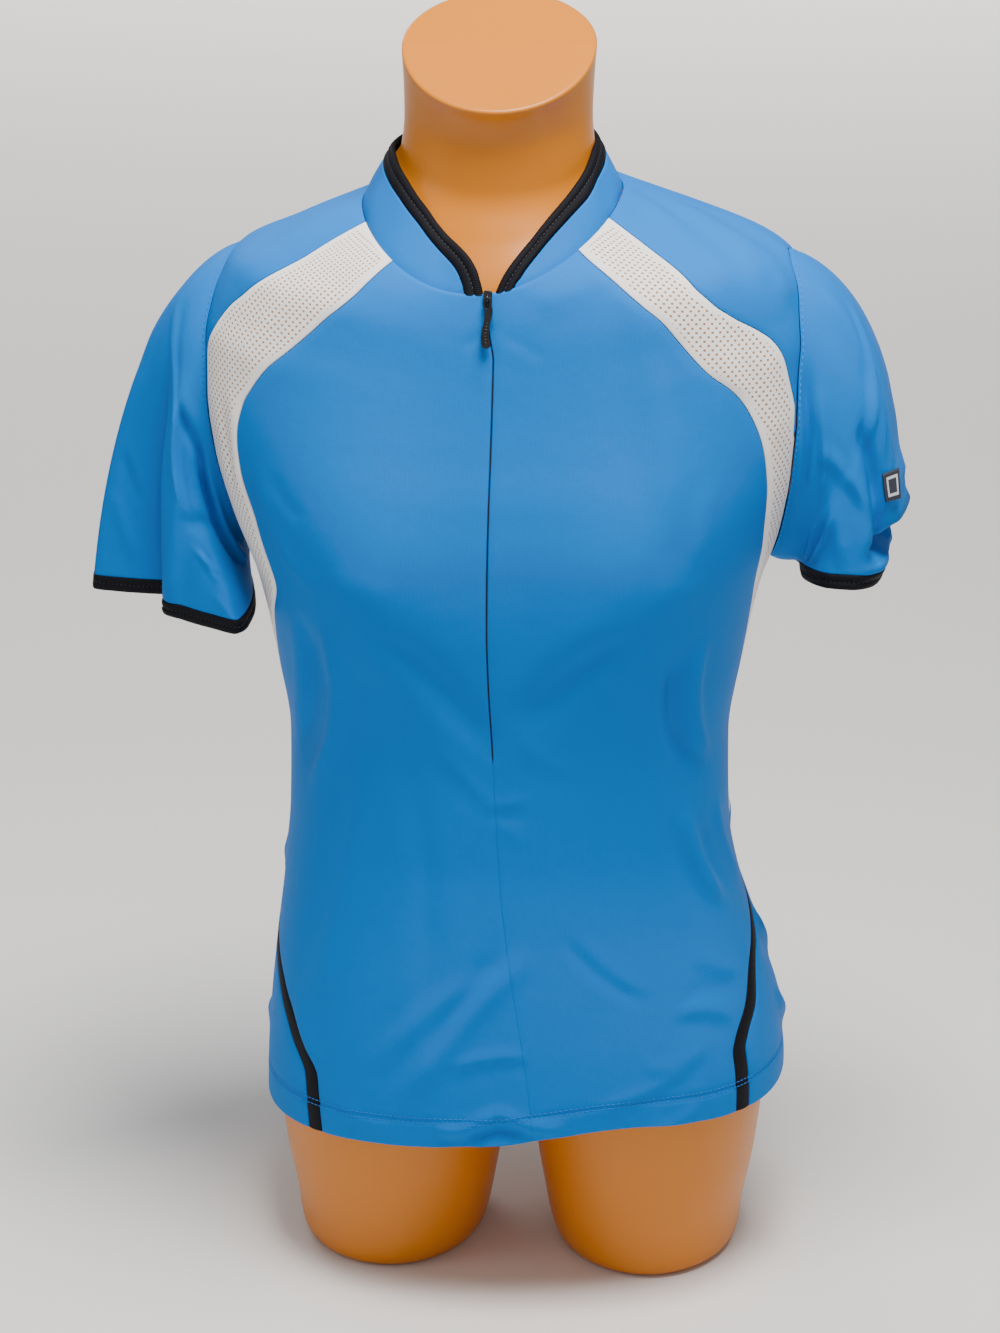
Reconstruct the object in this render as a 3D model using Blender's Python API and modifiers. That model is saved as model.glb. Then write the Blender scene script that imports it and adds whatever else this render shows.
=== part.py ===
"""A women's short-sleeved cycling jersey on a limbless dress form.

Metres, +Z up. The front faces -Y and the form's two thigh stumps stand on Z = 0. The jersey is cut from
panels that all lie on one surface round the trunk: an angle (0 at the front centre, 90 degrees at +X) and
a level (0 at the hem, 1 at the neckline). The seams are angles that change with the level.
"""

import math
from collections import namedtuple

import bmesh
import bpy
import numpy as np

# Cloth and seams
WALL = 0.0015
BINDING_WALL = 0.0026
SEAM_GAP = 0.0003
HALF_GAP = 0.0002
ZIP_HALF_GAP = 0.0004

# Set of the cloth on the form
HEM_TILT = 0.065
HEM_TILT_TOP = 0.282

# How far the seams are turned round the form, in degrees, by the height at the side
Twist = namedtuple("Twist", "side_z angle")
TWIST = [
    Twist(0.110, 6.0), Twist(0.230, 3.0), Twist(0.340, -0.5), Twist(0.450, -2.5), Twist(0.620, -2.5),
    Twist(0.668, -1.0),
]

# The form stands a little to one side: how far along X each ring is moved, by the height of its side
Shift = namedtuple("Shift", "side_z x")
SHIFT = [
    Shift(0.050, 0.008), Shift(0.120, 0.010), Shift(0.280, 0.000), Shift(0.620, 0.001), Shift(0.640, -0.002),
    Shift(0.668, -0.007), Shift(0.780, -0.006),
]

# Rings of the trunk, as the cloth's outer surface. The front and back of a ring may lie lower than its sides.
Ring = namedtuple("Ring", "side_z front_z back_z half_width front back power")
TRUNK = [
    Ring(0.1100, 0.1150, 0.1080, 0.1580, 0.1160, 0.1180, 2.3),
    Ring(0.1320, 0.1350, 0.1300, 0.1575, 0.1170, 0.1200, 2.3),
    Ring(0.1640, 0.1650, 0.1630, 0.1535, 0.1165, 0.1180, 2.3),
    Ring(0.2020, 0.2020, 0.2020, 0.1460, 0.1140, 0.1110, 2.3),
    Ring(0.2520, 0.2520, 0.2520, 0.1355, 0.1090, 0.0970, 2.3),
    Ring(0.2920, 0.2920, 0.2920, 0.1310, 0.1065, 0.0890, 2.3),
    Ring(0.3400, 0.3400, 0.3400, 0.1300, 0.1070, 0.0900, 2.3),
    Ring(0.3900, 0.3880, 0.3900, 0.1370, 0.1110, 0.0960, 2.3),
    Ring(0.4410, 0.4370, 0.4410, 0.1470, 0.1140, 0.1030, 2.3),
    Ring(0.4820, 0.4740, 0.4820, 0.1620, 0.1130, 0.1070, 2.4),
    Ring(0.5220, 0.5090, 0.5220, 0.1730, 0.1080, 0.1090, 2.5),
    Ring(0.5560, 0.5360, 0.5520, 0.1780, 0.1010, 0.1070, 2.5),
    Ring(0.5880, 0.5630, 0.5820, 0.1770, 0.0945, 0.1010, 2.5),
    Ring(0.6120, 0.5850, 0.6060, 0.1710, 0.0900, 0.0930, 2.4),
    Ring(0.6330, 0.6020, 0.6340, 0.1580, 0.0865, 0.0810, 2.4),
    Ring(0.6500, 0.6160, 0.6570, 0.1240, 0.0830, 0.0700, 2.3),
    Ring(0.6680, 0.6300, 0.6780, 0.0770, 0.0780, 0.0580, 2.2),
]
BUST_OUT = 0.016
BUST_X = 0.083
BUST_Z = 0.459
BUST_HALF_WIDTH = 0.052
BUST_ABOVE = 0.075
BUST_BELOW = 0.052

# Seams: the angle of each one, in degrees, at a level named by its height at the side.
Seam = namedtuple("Seam", "side_z angle")
FRONT_SEAM = [
    Seam(0.110, 61), Seam(0.137, 64), Seam(0.161, 71), Seam(0.187, 81), Seam(0.212, 90),
    Seam(0.237, 94), Seam(0.292, 92), Seam(0.352, 86), Seam(0.422, 74), Seam(0.477, 67),
    Seam(0.522, 64), Seam(0.556, 62.5), Seam(0.588, 59), Seam(0.612, 55), Seam(0.633, 52),
    Seam(0.650, 48), Seam(0.668, 44),
]
INSERT_OUTER_SEAM = [
    Seam(0.542, 76), Seam(0.565, 75.5), Seam(0.588, 74), Seam(0.612, 71.5), Seam(0.633, 69),
    Seam(0.650, 66), Seam(0.668, 62),
]
SIDE_BACK_SEAM = [Seam(0.237, 95.6), Seam(0.292, 97), Seam(0.352, 98), Seam(0.412, 97), Seam(0.452, 92)]
SHOULDER_SEAM = [Seam(0.633, 92), Seam(0.650, 96), Seam(0.668, 100)]
ARMHOLE_CENTRE = 92.0
ARMHOLE_FRONT = 17.0
ARMHOLE_BACK = 19.0
ARMHOLE_BOTTOM = 0.452
ARMHOLE_TOP = 0.633
YOKE_TIP = 0.547
YOKE_TIP_WIDTH = 0.0025
STRIPE_TOP = 0.237
STRIPE_FULL = 0.187
STRIPE_WIDTH = 0.0085
STRIPE_TOP_WIDTH = 0.0035
SIDE_SEAM_FADE = 0.1
MESH_ROW_BELOW_TIP = 0.002

# How finely the panels are divided
ROWS_STRIPE = 7
ROWS_SIDE = 8
ROWS_ARMHOLE = 12
ROWS_SHOULDER = 4
COLUMNS_FRONT = 9
COLUMNS_BACK = 18
COLUMNS_MESH = 4
COLUMNS_YOKE = 4
ROUND_SLEEVE = 2

# Collar: at an angle round the neckline, its whole height with the binding and how far it leans in.
CollarRow = namedtuple("CollarRow", "angle height lean")
COLLAR = [
    CollarRow(7, 0.0125, 20), CollarRow(14, 0.0195, 34), CollarRow(24, 0.0270, 40),
    CollarRow(36, 0.0330, 38), CollarRow(50, 0.0355, 34), CollarRow(70, 0.0345, 31),
    CollarRow(90, 0.0335, 29), CollarRow(135, 0.0330, 22), CollarRow(180, 0.0330, 16),
]
COLLAR_GAP = 0.00045
COLLAR_BINDING = 0.0105
COLLAR_COLUMNS = 42

# Sleeves. The tube's angle is 0 on the outer side, 90 in front, 180 under the arm. Each line of the tube
# leaves the armhole and arrives at the cuff in a set direction, with less reach under the arm.
CUFF_BINDING = 0.0095
CUFF_GAP = 0.0005
SLEEVE_RINGS = 8
UNDERARM_GAP = 0.0004
LEAVE_OUT = 0.93
LEAVE_FORWARD = -0.10
LEAVE_DOWN = -0.30
LEAVE_DOWN_UNDER = -0.25
ARRIVE_OUT = 0.10
ARRIVE_FORWARD = -0.06
LEAVE_REACH = 0.050
LEAVE_REACH_LOST_UNDER = 0.038
ARRIVE_REACH = 0.097
ARRIVE_REACH_LOST_UNDER = 0.085
Cuff = namedtuple("Cuff", "x y z half_width half_depth outer_rise front_rise")
CUFF = {
    "left": Cuff(-0.2000, -0.012, 0.425, 0.0470, 0.0560, 0.011, -0.004),
    "right": Cuff(0.1995, -0.010, 0.454, 0.0360, 0.0520, 0.028, -0.004),
}
Fold = namedtuple("Fold", "angle_top angle_cuff spread depth start")
FOLDS = {
    "left": [
        Fold(100, 82, 17, -0.020, 0.10), Fold(125, 122, 26, 0.015, 0.20), Fold(262, 268, 24, -0.010, 0.30),
    ],
    "right": [
        Fold(40, 44, 15, -0.010, 0.25), Fold(95, 92, 30, 0.010, 0.30), Fold(262, 262, 24, -0.010, 0.30),
    ],
}

# Zip
ZIP_BOTTOM = 0.358
ZIP_TAPE_HALF = 5.5
ZIP_TAPE_WALL = 0.0010
ZIP_TAPE_BEHIND = 0.0021
ZIP_TAPE_BELOW = 0.006
ZIP_TAPE_TOP_LEVEL = 0.985
ZIP_TAPE_ROWS = 18
SLIDER_DOWN = 0.0060
SLIDER_LEVEL_STEP = 0.0005
PULL_LEVEL_SPAN = 0.02
SLIDER = (0.0070, 0.0020, 0.0100)
SLIDER_EDGE = 0.0005
LUG_WIDTH = 0.0014
LUG_WINDOW = 0.0026
LUG_BAR = 0.0009
LUG_SINK = 0.0004
LUG_BAR_INSET = 0.00005
PULL_LENGTH = 0.0280
PULL_WIDTH = 0.0050
PULL_WALL = 0.0012
PULL_EYE_WIDTH = 0.0024
PULL_EYE_LENGTH = 0.0055
PULL_SWAY = 0.0009
PULL_WAIST = 0.72
PULL_STEPS = 10
PULL_STRAIGHT_STEPS = 2
PULL_REST = 4.5

# Patch on the right sleeve, as ranges of the sleeve's own angle and length
PATCH_ANGLES = (32, 53)
PATCH_LENGTHS = (0.78, 0.86)
PATCH_WALL = 0.0010
PATCH_LIFT = 0.0006

# Dress form: clearance under the cloth at a level, then the neck block and the stumps
Clearance = namedtuple("Clearance", "side_z all_round front_centre")
CLEARANCE = [
    Clearance(0.110, 0.0060, 0.006), Clearance(0.202, 0.0050, 0.006), Clearance(0.292, 0.0080, 0.008),
    Clearance(0.390, 0.0050, 0.009), Clearance(0.459, 0.0022, 0.010), Clearance(0.522, 0.0035, 0.006),
    Clearance(0.582, 0.0050, 0.004), Clearance(0.612, 0.0030, 0.003), Clearance(0.645, 0.0019, 0.003),
    Clearance(0.668, 0.0018, 0.003),
]
NECK = [
    Ring(0.6760, 0.6520, 0.6820, 0.0650, 0.0550, 0.0480, 2.1),
    Ring(0.6900, 0.6750, 0.6960, 0.0550, 0.0440, 0.0430, 2.0),
    Ring(0.7100, 0.6980, 0.7160, 0.0530, 0.0430, 0.0420, 2.0),
    Ring(0.7300, 0.7150, 0.7450, 0.0535, 0.0480, 0.0480, 2.0),
    Ring(0.7480, 0.7300, 0.7660, 0.0545, 0.0530, 0.0530, 2.0),
]
CAP_ROUNDING = 0.0015
FORM_COLUMNS = 32
FORM_ROWS = 22
FRONT_CENTRE_SPREAD = 22
FRONT_CENTRE_EXTRA = 0.0015
CROTCH_Z = 0.142
CROTCH_CURVE = 0.012
CROTCH_SHRINK = 0.86
Stump = namedtuple("Stump", "z x half_width half_depth")
STUMP = [
    Stump(0.000, 0.0790, 0.0490, 0.0590), Stump(0.003, 0.0790, 0.0540, 0.0640),
    Stump(0.010, 0.0790, 0.0570, 0.0670), Stump(0.050, 0.0790, 0.0615, 0.0720),
    Stump(0.110, 0.0785, 0.0675, 0.0820), Stump(0.150, 0.0750, 0.0680, 0.0860),
    Stump(0.190, 0.0650, 0.0560, 0.0800),
]
STUMP_COLUMNS = 24
STUMP_SHIFT = 0.006

# Where the middle of the whole object's outline, seen from above, falls in the trunk's own frame
OUTLINE_CENTRE = (-0.0055, -0.0010, 0.0)

# Colours (red, green, blue), roughness and metallic of each material
Finish = namedtuple("Finish", "colour roughness metallic")
FINISHES = {
    "blue_jersey": Finish((0.0, 0.33, 0.80), 0.65, 0.0),
    "white_mesh": Finish((0.85, 0.85, 0.86), 0.70, 0.0),
    "black_binding": Finish((0.012, 0.012, 0.015), 0.60, 0.0),
    "black_zip": Finish((0.02, 0.02, 0.022), 0.40, 0.0),
    "tan_plastic": Finish((0.52, 0.21, 0.07), 0.40, 0.0),
}


# ---- Curves through the tables

def curve_through(places, values, at):
    """Smooth curve through values at increasing places that never swings past them."""
    places, values = np.asarray(places, float), np.asarray(values, float)
    at = np.clip(at, places[0], places[-1])
    step = np.diff(places)
    slope = np.diff(values) / step
    tangent = np.zeros(len(values))
    tangent[0], tangent[-1] = slope[0], slope[-1]
    for i in range(1, len(values) - 1):
        if slope[i - 1] * slope[i] > 0:
            near, far = 2 * step[i] + step[i - 1], step[i] + 2 * step[i - 1]
            tangent[i] = (near + far) / (near / slope[i - 1] + far / slope[i])
    i = np.clip(np.searchsorted(places, at, side="right") - 1, 0, len(step) - 1)
    s = (at - places[i]) / step[i]
    return (
        values[i] * (1 + 2 * s) * (1 - s) ** 2
        + values[i + 1] * s * s * (3 - 2 * s)
        + step[i] * s * (1 - s) * (tangent[i] * (1 - s) - tangent[i + 1] * s)
    )


def column(table, name):
    return np.array([getattr(row, name) for row in table])


def ring_levels(table):
    """A level from 0 to 1 for each ring, in step with the length of the side's outline."""
    lengths = np.hypot(np.diff(column(table, "side_z")), np.diff(column(table, "half_width")))
    return np.concatenate([[0], np.cumsum(lengths)]) / lengths.sum()


TRUNK_LEVELS = ring_levels(TRUNK)


def level_at(side_z):
    """The level whose ring crosses the side at this height."""
    low, high = 0.0, 1.0
    for _ in range(40):
        middle = (low + high) / 2
        if curve_through(TRUNK_LEVELS, column(TRUNK, "side_z"), middle) < side_z:
            low = middle
        else:
            high = middle
    return (low + high) / 2


def seam_angle(table, level):
    """The angle that a table gives, in degrees, at a level."""
    return float(curve_through([level_at(row.side_z) for row in table], column(table, "angle"), level))


# ---- The trunk's surface

def ease(value):
    value = np.clip(value, 0, 1)
    return value * value * (3 - 2 * value)


def shift_at(side_z):
    return float(curve_through(column(SHIFT, "side_z"), column(SHIFT, "x"), side_z))


def ring_point(angle, ring, plane=False):
    """A point of a ring, from its seven values, at an angle in degrees. A plane ring is tilted, not bent."""
    side_z, front_z, back_z, half_width, front, back, power = ring
    across, along = math.sin(math.radians(angle)), -math.cos(math.radians(angle))
    depth, end_z = (front, front_z) if along < 0 else (back, back_z)
    radius = (abs(across / half_width) ** power + abs(along / depth) ** power) ** (-1 / power)
    bend = abs(radius * along) / depth if plane else along * along
    z = side_z + (end_z - side_z) * bend
    return np.array([radius * across + shift_at(side_z), radius * along, z])


def trunk_point(angle, level):
    """A point of the cloth's outer surface."""
    ring = [float(curve_through(TRUNK_LEVELS, column(TRUNK, name), level)) for name in Ring._fields]
    point = ring_point(angle, ring)
    if point[1] < 0:
        from_bust = point[2] - BUST_Z
        reach = BUST_ABOVE if from_bust > 0 else BUST_BELOW
        for bust_x in (-BUST_X, BUST_X):
            aside = (point[0] - bust_x) / BUST_HALF_WIDTH
            point[1] -= BUST_OUT * math.exp(-aside * aside - (from_bust / reach) ** 2)
    tilted = 1 - ease((ring[0] - TRUNK[0].side_z) / (HEM_TILT_TOP - TRUNK[0].side_z))
    point[2] += HEM_TILT * point[0] * tilted
    return point


def twist_at(level):
    return seam_angle(TWIST, level)


def trunk_normal(angle, level):
    """The direction out of the cloth."""
    step = 0.002
    low, high = max(level - step, 0), min(level + step, 1)
    round_it = trunk_point(angle + 0.5, level) - trunk_point(angle - 0.5, level)
    up_it = trunk_point(angle, high) - trunk_point(angle, low)
    normal = np.cross(round_it, up_it)
    return normal / np.linalg.norm(normal)


def degrees_for(length, angle, level):
    """The angle that covers a length round the trunk."""
    per_degree = np.linalg.norm(trunk_point(angle + 0.5, level) - trunk_point(angle - 0.5, level))
    return length / per_degree


# ---- Objects

def clear_scene():
    for obj in list(bpy.data.objects):
        bpy.data.objects.remove(obj, do_unlink=True)


def new_collection(name):
    collection = bpy.data.collections.new(name)
    bpy.context.scene.collection.children.link(collection)
    return collection


def material(name):
    found = bpy.data.materials.get(name)
    if found:
        return found
    finish = FINISHES[name]
    made = bpy.data.materials.new(name)
    made.use_nodes = True
    shader = made.node_tree.nodes["Principled BSDF"]
    shader.inputs["Base Color"].default_value = (*finish.colour, 1)
    shader.inputs["Roughness"].default_value = finish.roughness
    shader.inputs["Metallic"].default_value = finish.metallic
    return made


def mesh_object(name, points, faces, finish, collection):
    mesh = bpy.data.meshes.new(name)
    mesh.from_pydata([tuple(point) for point in points], [], faces)
    mesh.shade_smooth()
    obj = bpy.data.objects.new(name, mesh)
    obj.data.materials.append(material(finish))
    collection.objects.link(obj)
    return obj


def grid_faces(rows, columns, closed=False):
    """Faces of a grid whose normals point out when its rows rise and its columns run towards +X in front."""
    faces = []
    for r in range(rows - 1):
        for c in range(columns if closed else columns - 1):
            right = (c + 1) % columns
            low, high = r * columns, (r + 1) * columns
            faces.append((low + c, low + right, high + right, high + c))
    return faces


def thicken(obj, wall):
    """Gives an open surface a wall on its inner side."""
    solidify = obj.modifiers.new("wall", "SOLIDIFY")
    solidify.thickness = wall
    solidify.offset = -1


def cloth(name, rows, finish, wall, collection, closed=False):
    """A wall of cloth from rows of points, each row the same length."""
    points = [point for row in rows for point in row]
    obj = mesh_object(name, points, grid_faces(len(rows), len(rows[0]), closed), finish, collection)
    thicken(obj, wall)
    return obj


# ---- Levels and seams that the panels share

def armhole_levels():
    """Levels from the armhole's bottom to its top, closer together at both ends, as on a circle."""
    bottom, top = level_at(ARMHOLE_BOTTOM), level_at(ARMHOLE_TOP)
    turns = [(1 - math.cos(math.pi * i / ROWS_ARMHOLE)) / 2 for i in range(ROWS_ARMHOLE + 1)]
    return [bottom + (top - bottom) * turn for turn in turns]


def armhole_angle(level, half_opening):
    """The angle of the armhole's front (negative opening) or back edge."""
    bottom, top = level_at(ARMHOLE_BOTTOM), level_at(ARMHOLE_TOP)
    middle = 2 * (level - bottom) / (top - bottom) - 1
    return ARMHOLE_CENTRE + half_opening * math.sqrt(max(0.0, 1 - middle * middle))


def spread(first, last, count):
    return [first + (last - first) * i / count for i in range(count)]


def all_levels():
    """The levels that every panel has a row at, from hem to neckline."""
    tip, armhole = level_at(STRIPE_TOP), armhole_levels()
    return (
        spread(0, tip, ROWS_STRIPE)
        + spread(tip, armhole[0], ROWS_SIDE)
        + armhole[:-1]
        + spread(armhole[-1], 1, ROWS_SHOULDER)
        + [1.0]
    )


def tip_level():
    """The row of the armhole at which the yoke ends in a point."""
    return min(armhole_levels(), key=lambda level: abs(level - level_at(YOKE_TIP)))


def front_edge(level):
    return seam_angle(FRONT_SEAM, level)


def stripe_back_edge(level):
    """The back edge of the side stripe, which narrows to its top."""
    height = float(curve_through(TRUNK_LEVELS, column(TRUNK, "side_z"), level))
    full = 1 - ease((height - STRIPE_FULL) / (STRIPE_TOP - STRIPE_FULL))
    width = STRIPE_TOP_WIDTH + (STRIPE_WIDTH - STRIPE_TOP_WIDTH) * full
    start = front_edge(level)
    return start + degrees_for(width, start, level)


def back_edge(level):
    """The edge of the back panel, from the hem past the armhole to the neckline."""
    if level <= level_at(STRIPE_TOP):
        return stripe_back_edge(level)
    if level <= level_at(ARMHOLE_BOTTOM):
        start = stripe_back_edge(level_at(STRIPE_TOP))
        offset = start - SIDE_BACK_SEAM[0].angle
        fade = 1 - ease((level - level_at(STRIPE_TOP)) / SIDE_SEAM_FADE)
        return seam_angle(SIDE_BACK_SEAM, level) + offset * fade
    if level < level_at(ARMHOLE_TOP):
        return armhole_angle(level, ARMHOLE_BACK)
    return seam_angle(SHOULDER_SEAM, level)


def mesh_back_edge(level):
    """The mesh insert's outer edge: side seam, armhole, then the seam with the yoke."""
    if level <= level_at(ARMHOLE_BOTTOM):
        return back_edge(level)
    if level < tip_level() - 1e-6:
        return armhole_angle(level, -ARMHOLE_FRONT)
    if level < tip_level() + 1e-6:
        edge = armhole_angle(level, -ARMHOLE_FRONT)
        return edge - degrees_for(YOKE_TIP_WIDTH, edge, level)
    return insert_outer_edge(level)


def insert_outer_edge(level):
    return seam_angle(INSERT_OUTER_SEAM, level)


def yoke_back_edge(level):
    if level < level_at(ARMHOLE_TOP) - 1e-6:
        return armhole_angle(level, -ARMHOLE_FRONT)
    return seam_angle(SHOULDER_SEAM, level)


def strip(levels, first_edge, last_edge, columns, side):
    """Rows of points between two seams, less half a gap at each. Side is 1 at +X and -1 at -X."""
    rows = []
    for level in levels:
        twist = twist_at(level)
        near = side * first_edge(level) + twist
        far = side * last_edge(level) + twist
        first, last = min(near, far), max(near, far)
        first += degrees_for(HALF_GAP, first, level)
        last -= degrees_for(HALF_GAP, last, level)
        rows.append([trunk_point(first + (last - first) * c / columns, level) for c in range(columns + 1)])
    return rows


def trimmed(levels, at_start, at_end):
    """The levels with a seam gap's half left below the first or above the last."""
    per_level = sum(
        math.hypot(b.side_z - a.side_z, b.half_width - a.half_width) for a, b in zip(TRUNK, TRUNK[1:])
    )
    levels = list(levels)
    if at_start:
        levels[0] += HALF_GAP / per_level
    if at_end:
        levels[-1] -= HALF_GAP / per_level
    return levels


# ---- Panels

def make_front(side, name, collection):
    def centre(level):
        height = float(curve_through(TRUNK_LEVELS, column(TRUNK, "side_z"), level))
        extra = ZIP_HALF_GAP - HALF_GAP if height > ZIP_BOTTOM else 0.0
        return degrees_for(extra, 0, level)

    rows = strip(trimmed(all_levels(), False, True), centre, front_edge, COLUMNS_FRONT, side)
    return cloth(name, rows, "blue_jersey", WALL, collection)


def make_mesh(side, name, collection):
    levels = [level for level in all_levels() if level >= level_at(STRIPE_TOP) - 1e-9]
    levels = sorted(levels + [tip_level() - MESH_ROW_BELOW_TIP])
    rows = strip(trimmed(levels, True, True), front_edge, mesh_back_edge, COLUMNS_MESH, side)
    return cloth(name, rows, "white_mesh", WALL, collection)


def make_yoke(side, name, collection):
    levels = [level for level in all_levels() if level >= tip_level() - 1e-9]
    rows = strip(trimmed(levels, False, True), mesh_back_edge, yoke_back_edge, COLUMNS_YOKE, side)
    return cloth(name, rows, "blue_jersey", WALL, collection)


def make_stripe(side, name, collection):
    levels = spread(0, level_at(STRIPE_TOP), ROWS_STRIPE) + [level_at(STRIPE_TOP)]
    rows = strip(trimmed(levels, False, True), front_edge, stripe_back_edge, 1, side)
    return cloth(name, rows, "black_binding", WALL, collection)


def make_back(collection):
    rows = []
    for level in trimmed(all_levels(), False, True):
        twist, edge = twist_at(level), back_edge(level)
        first, last = edge + twist, 360 - edge + twist
        first += degrees_for(HALF_GAP, first, level)
        last -= degrees_for(HALF_GAP, last, level)
        angles = [first + (last - first) * c / COLUMNS_BACK for c in range(COLUMNS_BACK + 1)]
        rows.append([trunk_point(angle, level) for angle in angles])
    return cloth("back", rows, "blue_jersey", WALL, collection)


# ---- Collar

def collar_point(angle, rise):
    """A point of the collar's outer surface, a length up from the neckline."""
    side = abs((angle + 180) % 360 - 180)
    lean = math.radians(float(curve_through(column(COLLAR, "angle"), column(COLLAR, "lean"), side)))
    base = trunk_point(angle, 1.0)
    inward = np.array([-math.sin(math.radians(angle)), math.cos(math.radians(angle)), 0])
    upward = np.array([0, 0, 1])
    return base + COLLAR_GAP * upward + rise * (inward * math.sin(lean) + upward * math.cos(lean))


def collar_height(angle):
    side = abs((angle + 180) % 360 - 180)
    return float(curve_through(column(COLLAR, "angle"), column(COLLAR, "height"), side))


def make_collar(collection):
    """The stand collar and the binding along its top edge, both open at the front."""
    first = COLLAR[0].angle
    angles = [first + (360 - 2 * first) * i / COLLAR_COLUMNS for i in range(COLLAR_COLUMNS + 1)]
    band, binding = [], []
    for part in (0, 0.5, 1):
        band.append([collar_point(a, part * (collar_height(a) - COLLAR_BINDING - SEAM_GAP)) for a in angles])
        binding.append([collar_point(a, collar_height(a) - COLLAR_BINDING * (1 - part)) for a in angles])
    cloth("collar", band, "blue_jersey", WALL, collection)
    cloth("collar_binding", binding, "black_binding", BINDING_WALL, collection)


# ---- Sleeves

def armhole_loop(side):
    """Points round the armhole's edge, from its top down the front and up the back."""
    levels = armhole_levels()
    front = [(level, armhole_angle(level, -ARMHOLE_FRONT)) for level in reversed(levels)]
    back = [(level, armhole_angle(level, ARMHOLE_BACK)) for level in levels[1:-1]]
    corners = [trunk_point(side * angle + twist_at(level), level) for level, angle in front + back]
    points = []
    for here, there in zip(corners, corners[1:] + corners[:1]):
        points += [here + (there - here) * i / ROUND_SLEEVE for i in range(ROUND_SLEEVE)]
    return points


def fold_out(folds, turn, length):
    """How far the folds push the sleeve out, at an angle in degrees and a part of its length."""
    out = 0.0
    for fold in folds:
        middle = fold.angle_top + (fold.angle_cuff - fold.angle_top) * length
        aside = ((turn - middle + 180) % 360 - 180) / fold.spread
        out += fold.depth * math.exp(-aside * aside) * float(ease((length - fold.start) / (1 - fold.start)))
    return out


def sleeve_line(side_name, start, turn):
    """One line of the sleeve, from a point of the armhole to the cuff's edge, as a function of its part."""
    side = 1 if side_name == "right" else -1
    cuff, folds = CUFF[side_name], FOLDS[side_name]
    outward, forward = math.cos(math.radians(turn)), math.sin(math.radians(turn))
    under = (1 - outward) / 2
    start = start + np.array([side * (SEAM_GAP + UNDERARM_GAP * under), 0, 0])
    end = np.array([
        cuff.x + side * outward * cuff.half_width,
        cuff.y - forward * cuff.half_depth,
        cuff.z + cuff.outer_rise * outward + cuff.front_rise * forward,
    ])
    leave = np.array([side * LEAVE_OUT, LEAVE_FORWARD * forward, LEAVE_DOWN + LEAVE_DOWN_UNDER * under])
    arrive = np.array([side * ARRIVE_OUT * outward, ARRIVE_FORWARD * forward, -1.0])
    first = start + leave * (LEAVE_REACH - LEAVE_REACH_LOST_UNDER * under)
    last = end - arrive * (ARRIVE_REACH - ARRIVE_REACH_LOST_UNDER * under)
    radial = np.array([side * outward, -forward, 0])

    def at(part):
        rest = 1 - part
        near_armhole = rest**3 * start + 3 * rest**2 * part * first
        near_cuff = 3 * rest * part**2 * last + part**3 * end
        return near_armhole + near_cuff + radial * fold_out(folds, turn, part)

    return at


def sleeve_lines(side_name):
    loop = armhole_loop(1 if side_name == "right" else -1)
    return [sleeve_line(side_name, start, 360 * i / len(loop)) for i, start in enumerate(loop)]


def part_from_cuff(line, distance):
    """The part of a line that lies this far from the cuff's edge, measured along it."""
    parts = np.linspace(1, 0.4, 40)
    samples = [line(part) for part in parts]
    travelled = np.cumsum([0] + [np.linalg.norm(a - b) for a, b in zip(samples, samples[1:])])
    return float(np.interp(distance, travelled, parts))


def outward_rows(rings, side_name):
    """Rings as grid rows whose faces point out of the tube, from the cuff up."""
    rows = rings[::-1]
    return rows if side_name == "left" else [row[:1] + row[:0:-1] for row in rows]


def make_sleeve(side_name, collection):
    lines = sleeve_lines(side_name)
    body_ends = [part_from_cuff(line, CUFF_BINDING + CUFF_GAP) for line in lines]
    rings = [
        [line(end * i / SLEEVE_RINGS) for line, end in zip(lines, body_ends)] for i in range(SLEEVE_RINGS + 1)
    ]
    rows = outward_rows(rings, side_name)
    cloth(f"sleeve_{side_name}", rows, "blue_jersey", WALL, collection, closed=True)
    rings = [[line(part_from_cuff(line, distance)) for line in lines] for distance in (CUFF_BINDING, 0.0)]
    rows = outward_rows(rings, side_name)
    cloth(f"cuff_binding_{side_name}", rows, "black_binding", BINDING_WALL, collection, closed=True)


# ---- Dress form

def form_point(angle, level):
    """A point of the form's trunk, under the cloth by its wall and a clearance."""
    height = float(curve_through(TRUNK_LEVELS, column(TRUNK, "side_z"), level))
    around = float(curve_through(column(CLEARANCE, "side_z"), column(CLEARANCE, "all_round"), height))
    centre = float(curve_through(column(CLEARANCE, "side_z"), column(CLEARANCE, "front_centre"), height))
    aside = ((angle + 180) % 360 - 180) / FRONT_CENTRE_SPREAD
    depth = WALL + around + (centre + FRONT_CENTRE_EXTRA - around) * math.exp(-aside * aside)
    return trunk_point(angle, level) - depth * trunk_normal(angle, level)


def capped_loft(name, rows, collection):
    """A closed solid of the form's plastic through rings of points, with both ends flat."""
    columns = len(rows[0])
    last = (len(rows) - 1) * columns
    faces = grid_faces(len(rows), columns, closed=True)
    faces.append(tuple(range(columns - 1, -1, -1)))
    faces.append(tuple(range(last, last + columns)))
    return mesh_object(name, [point for row in rows for point in row], faces, "tan_plastic", collection)


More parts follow.
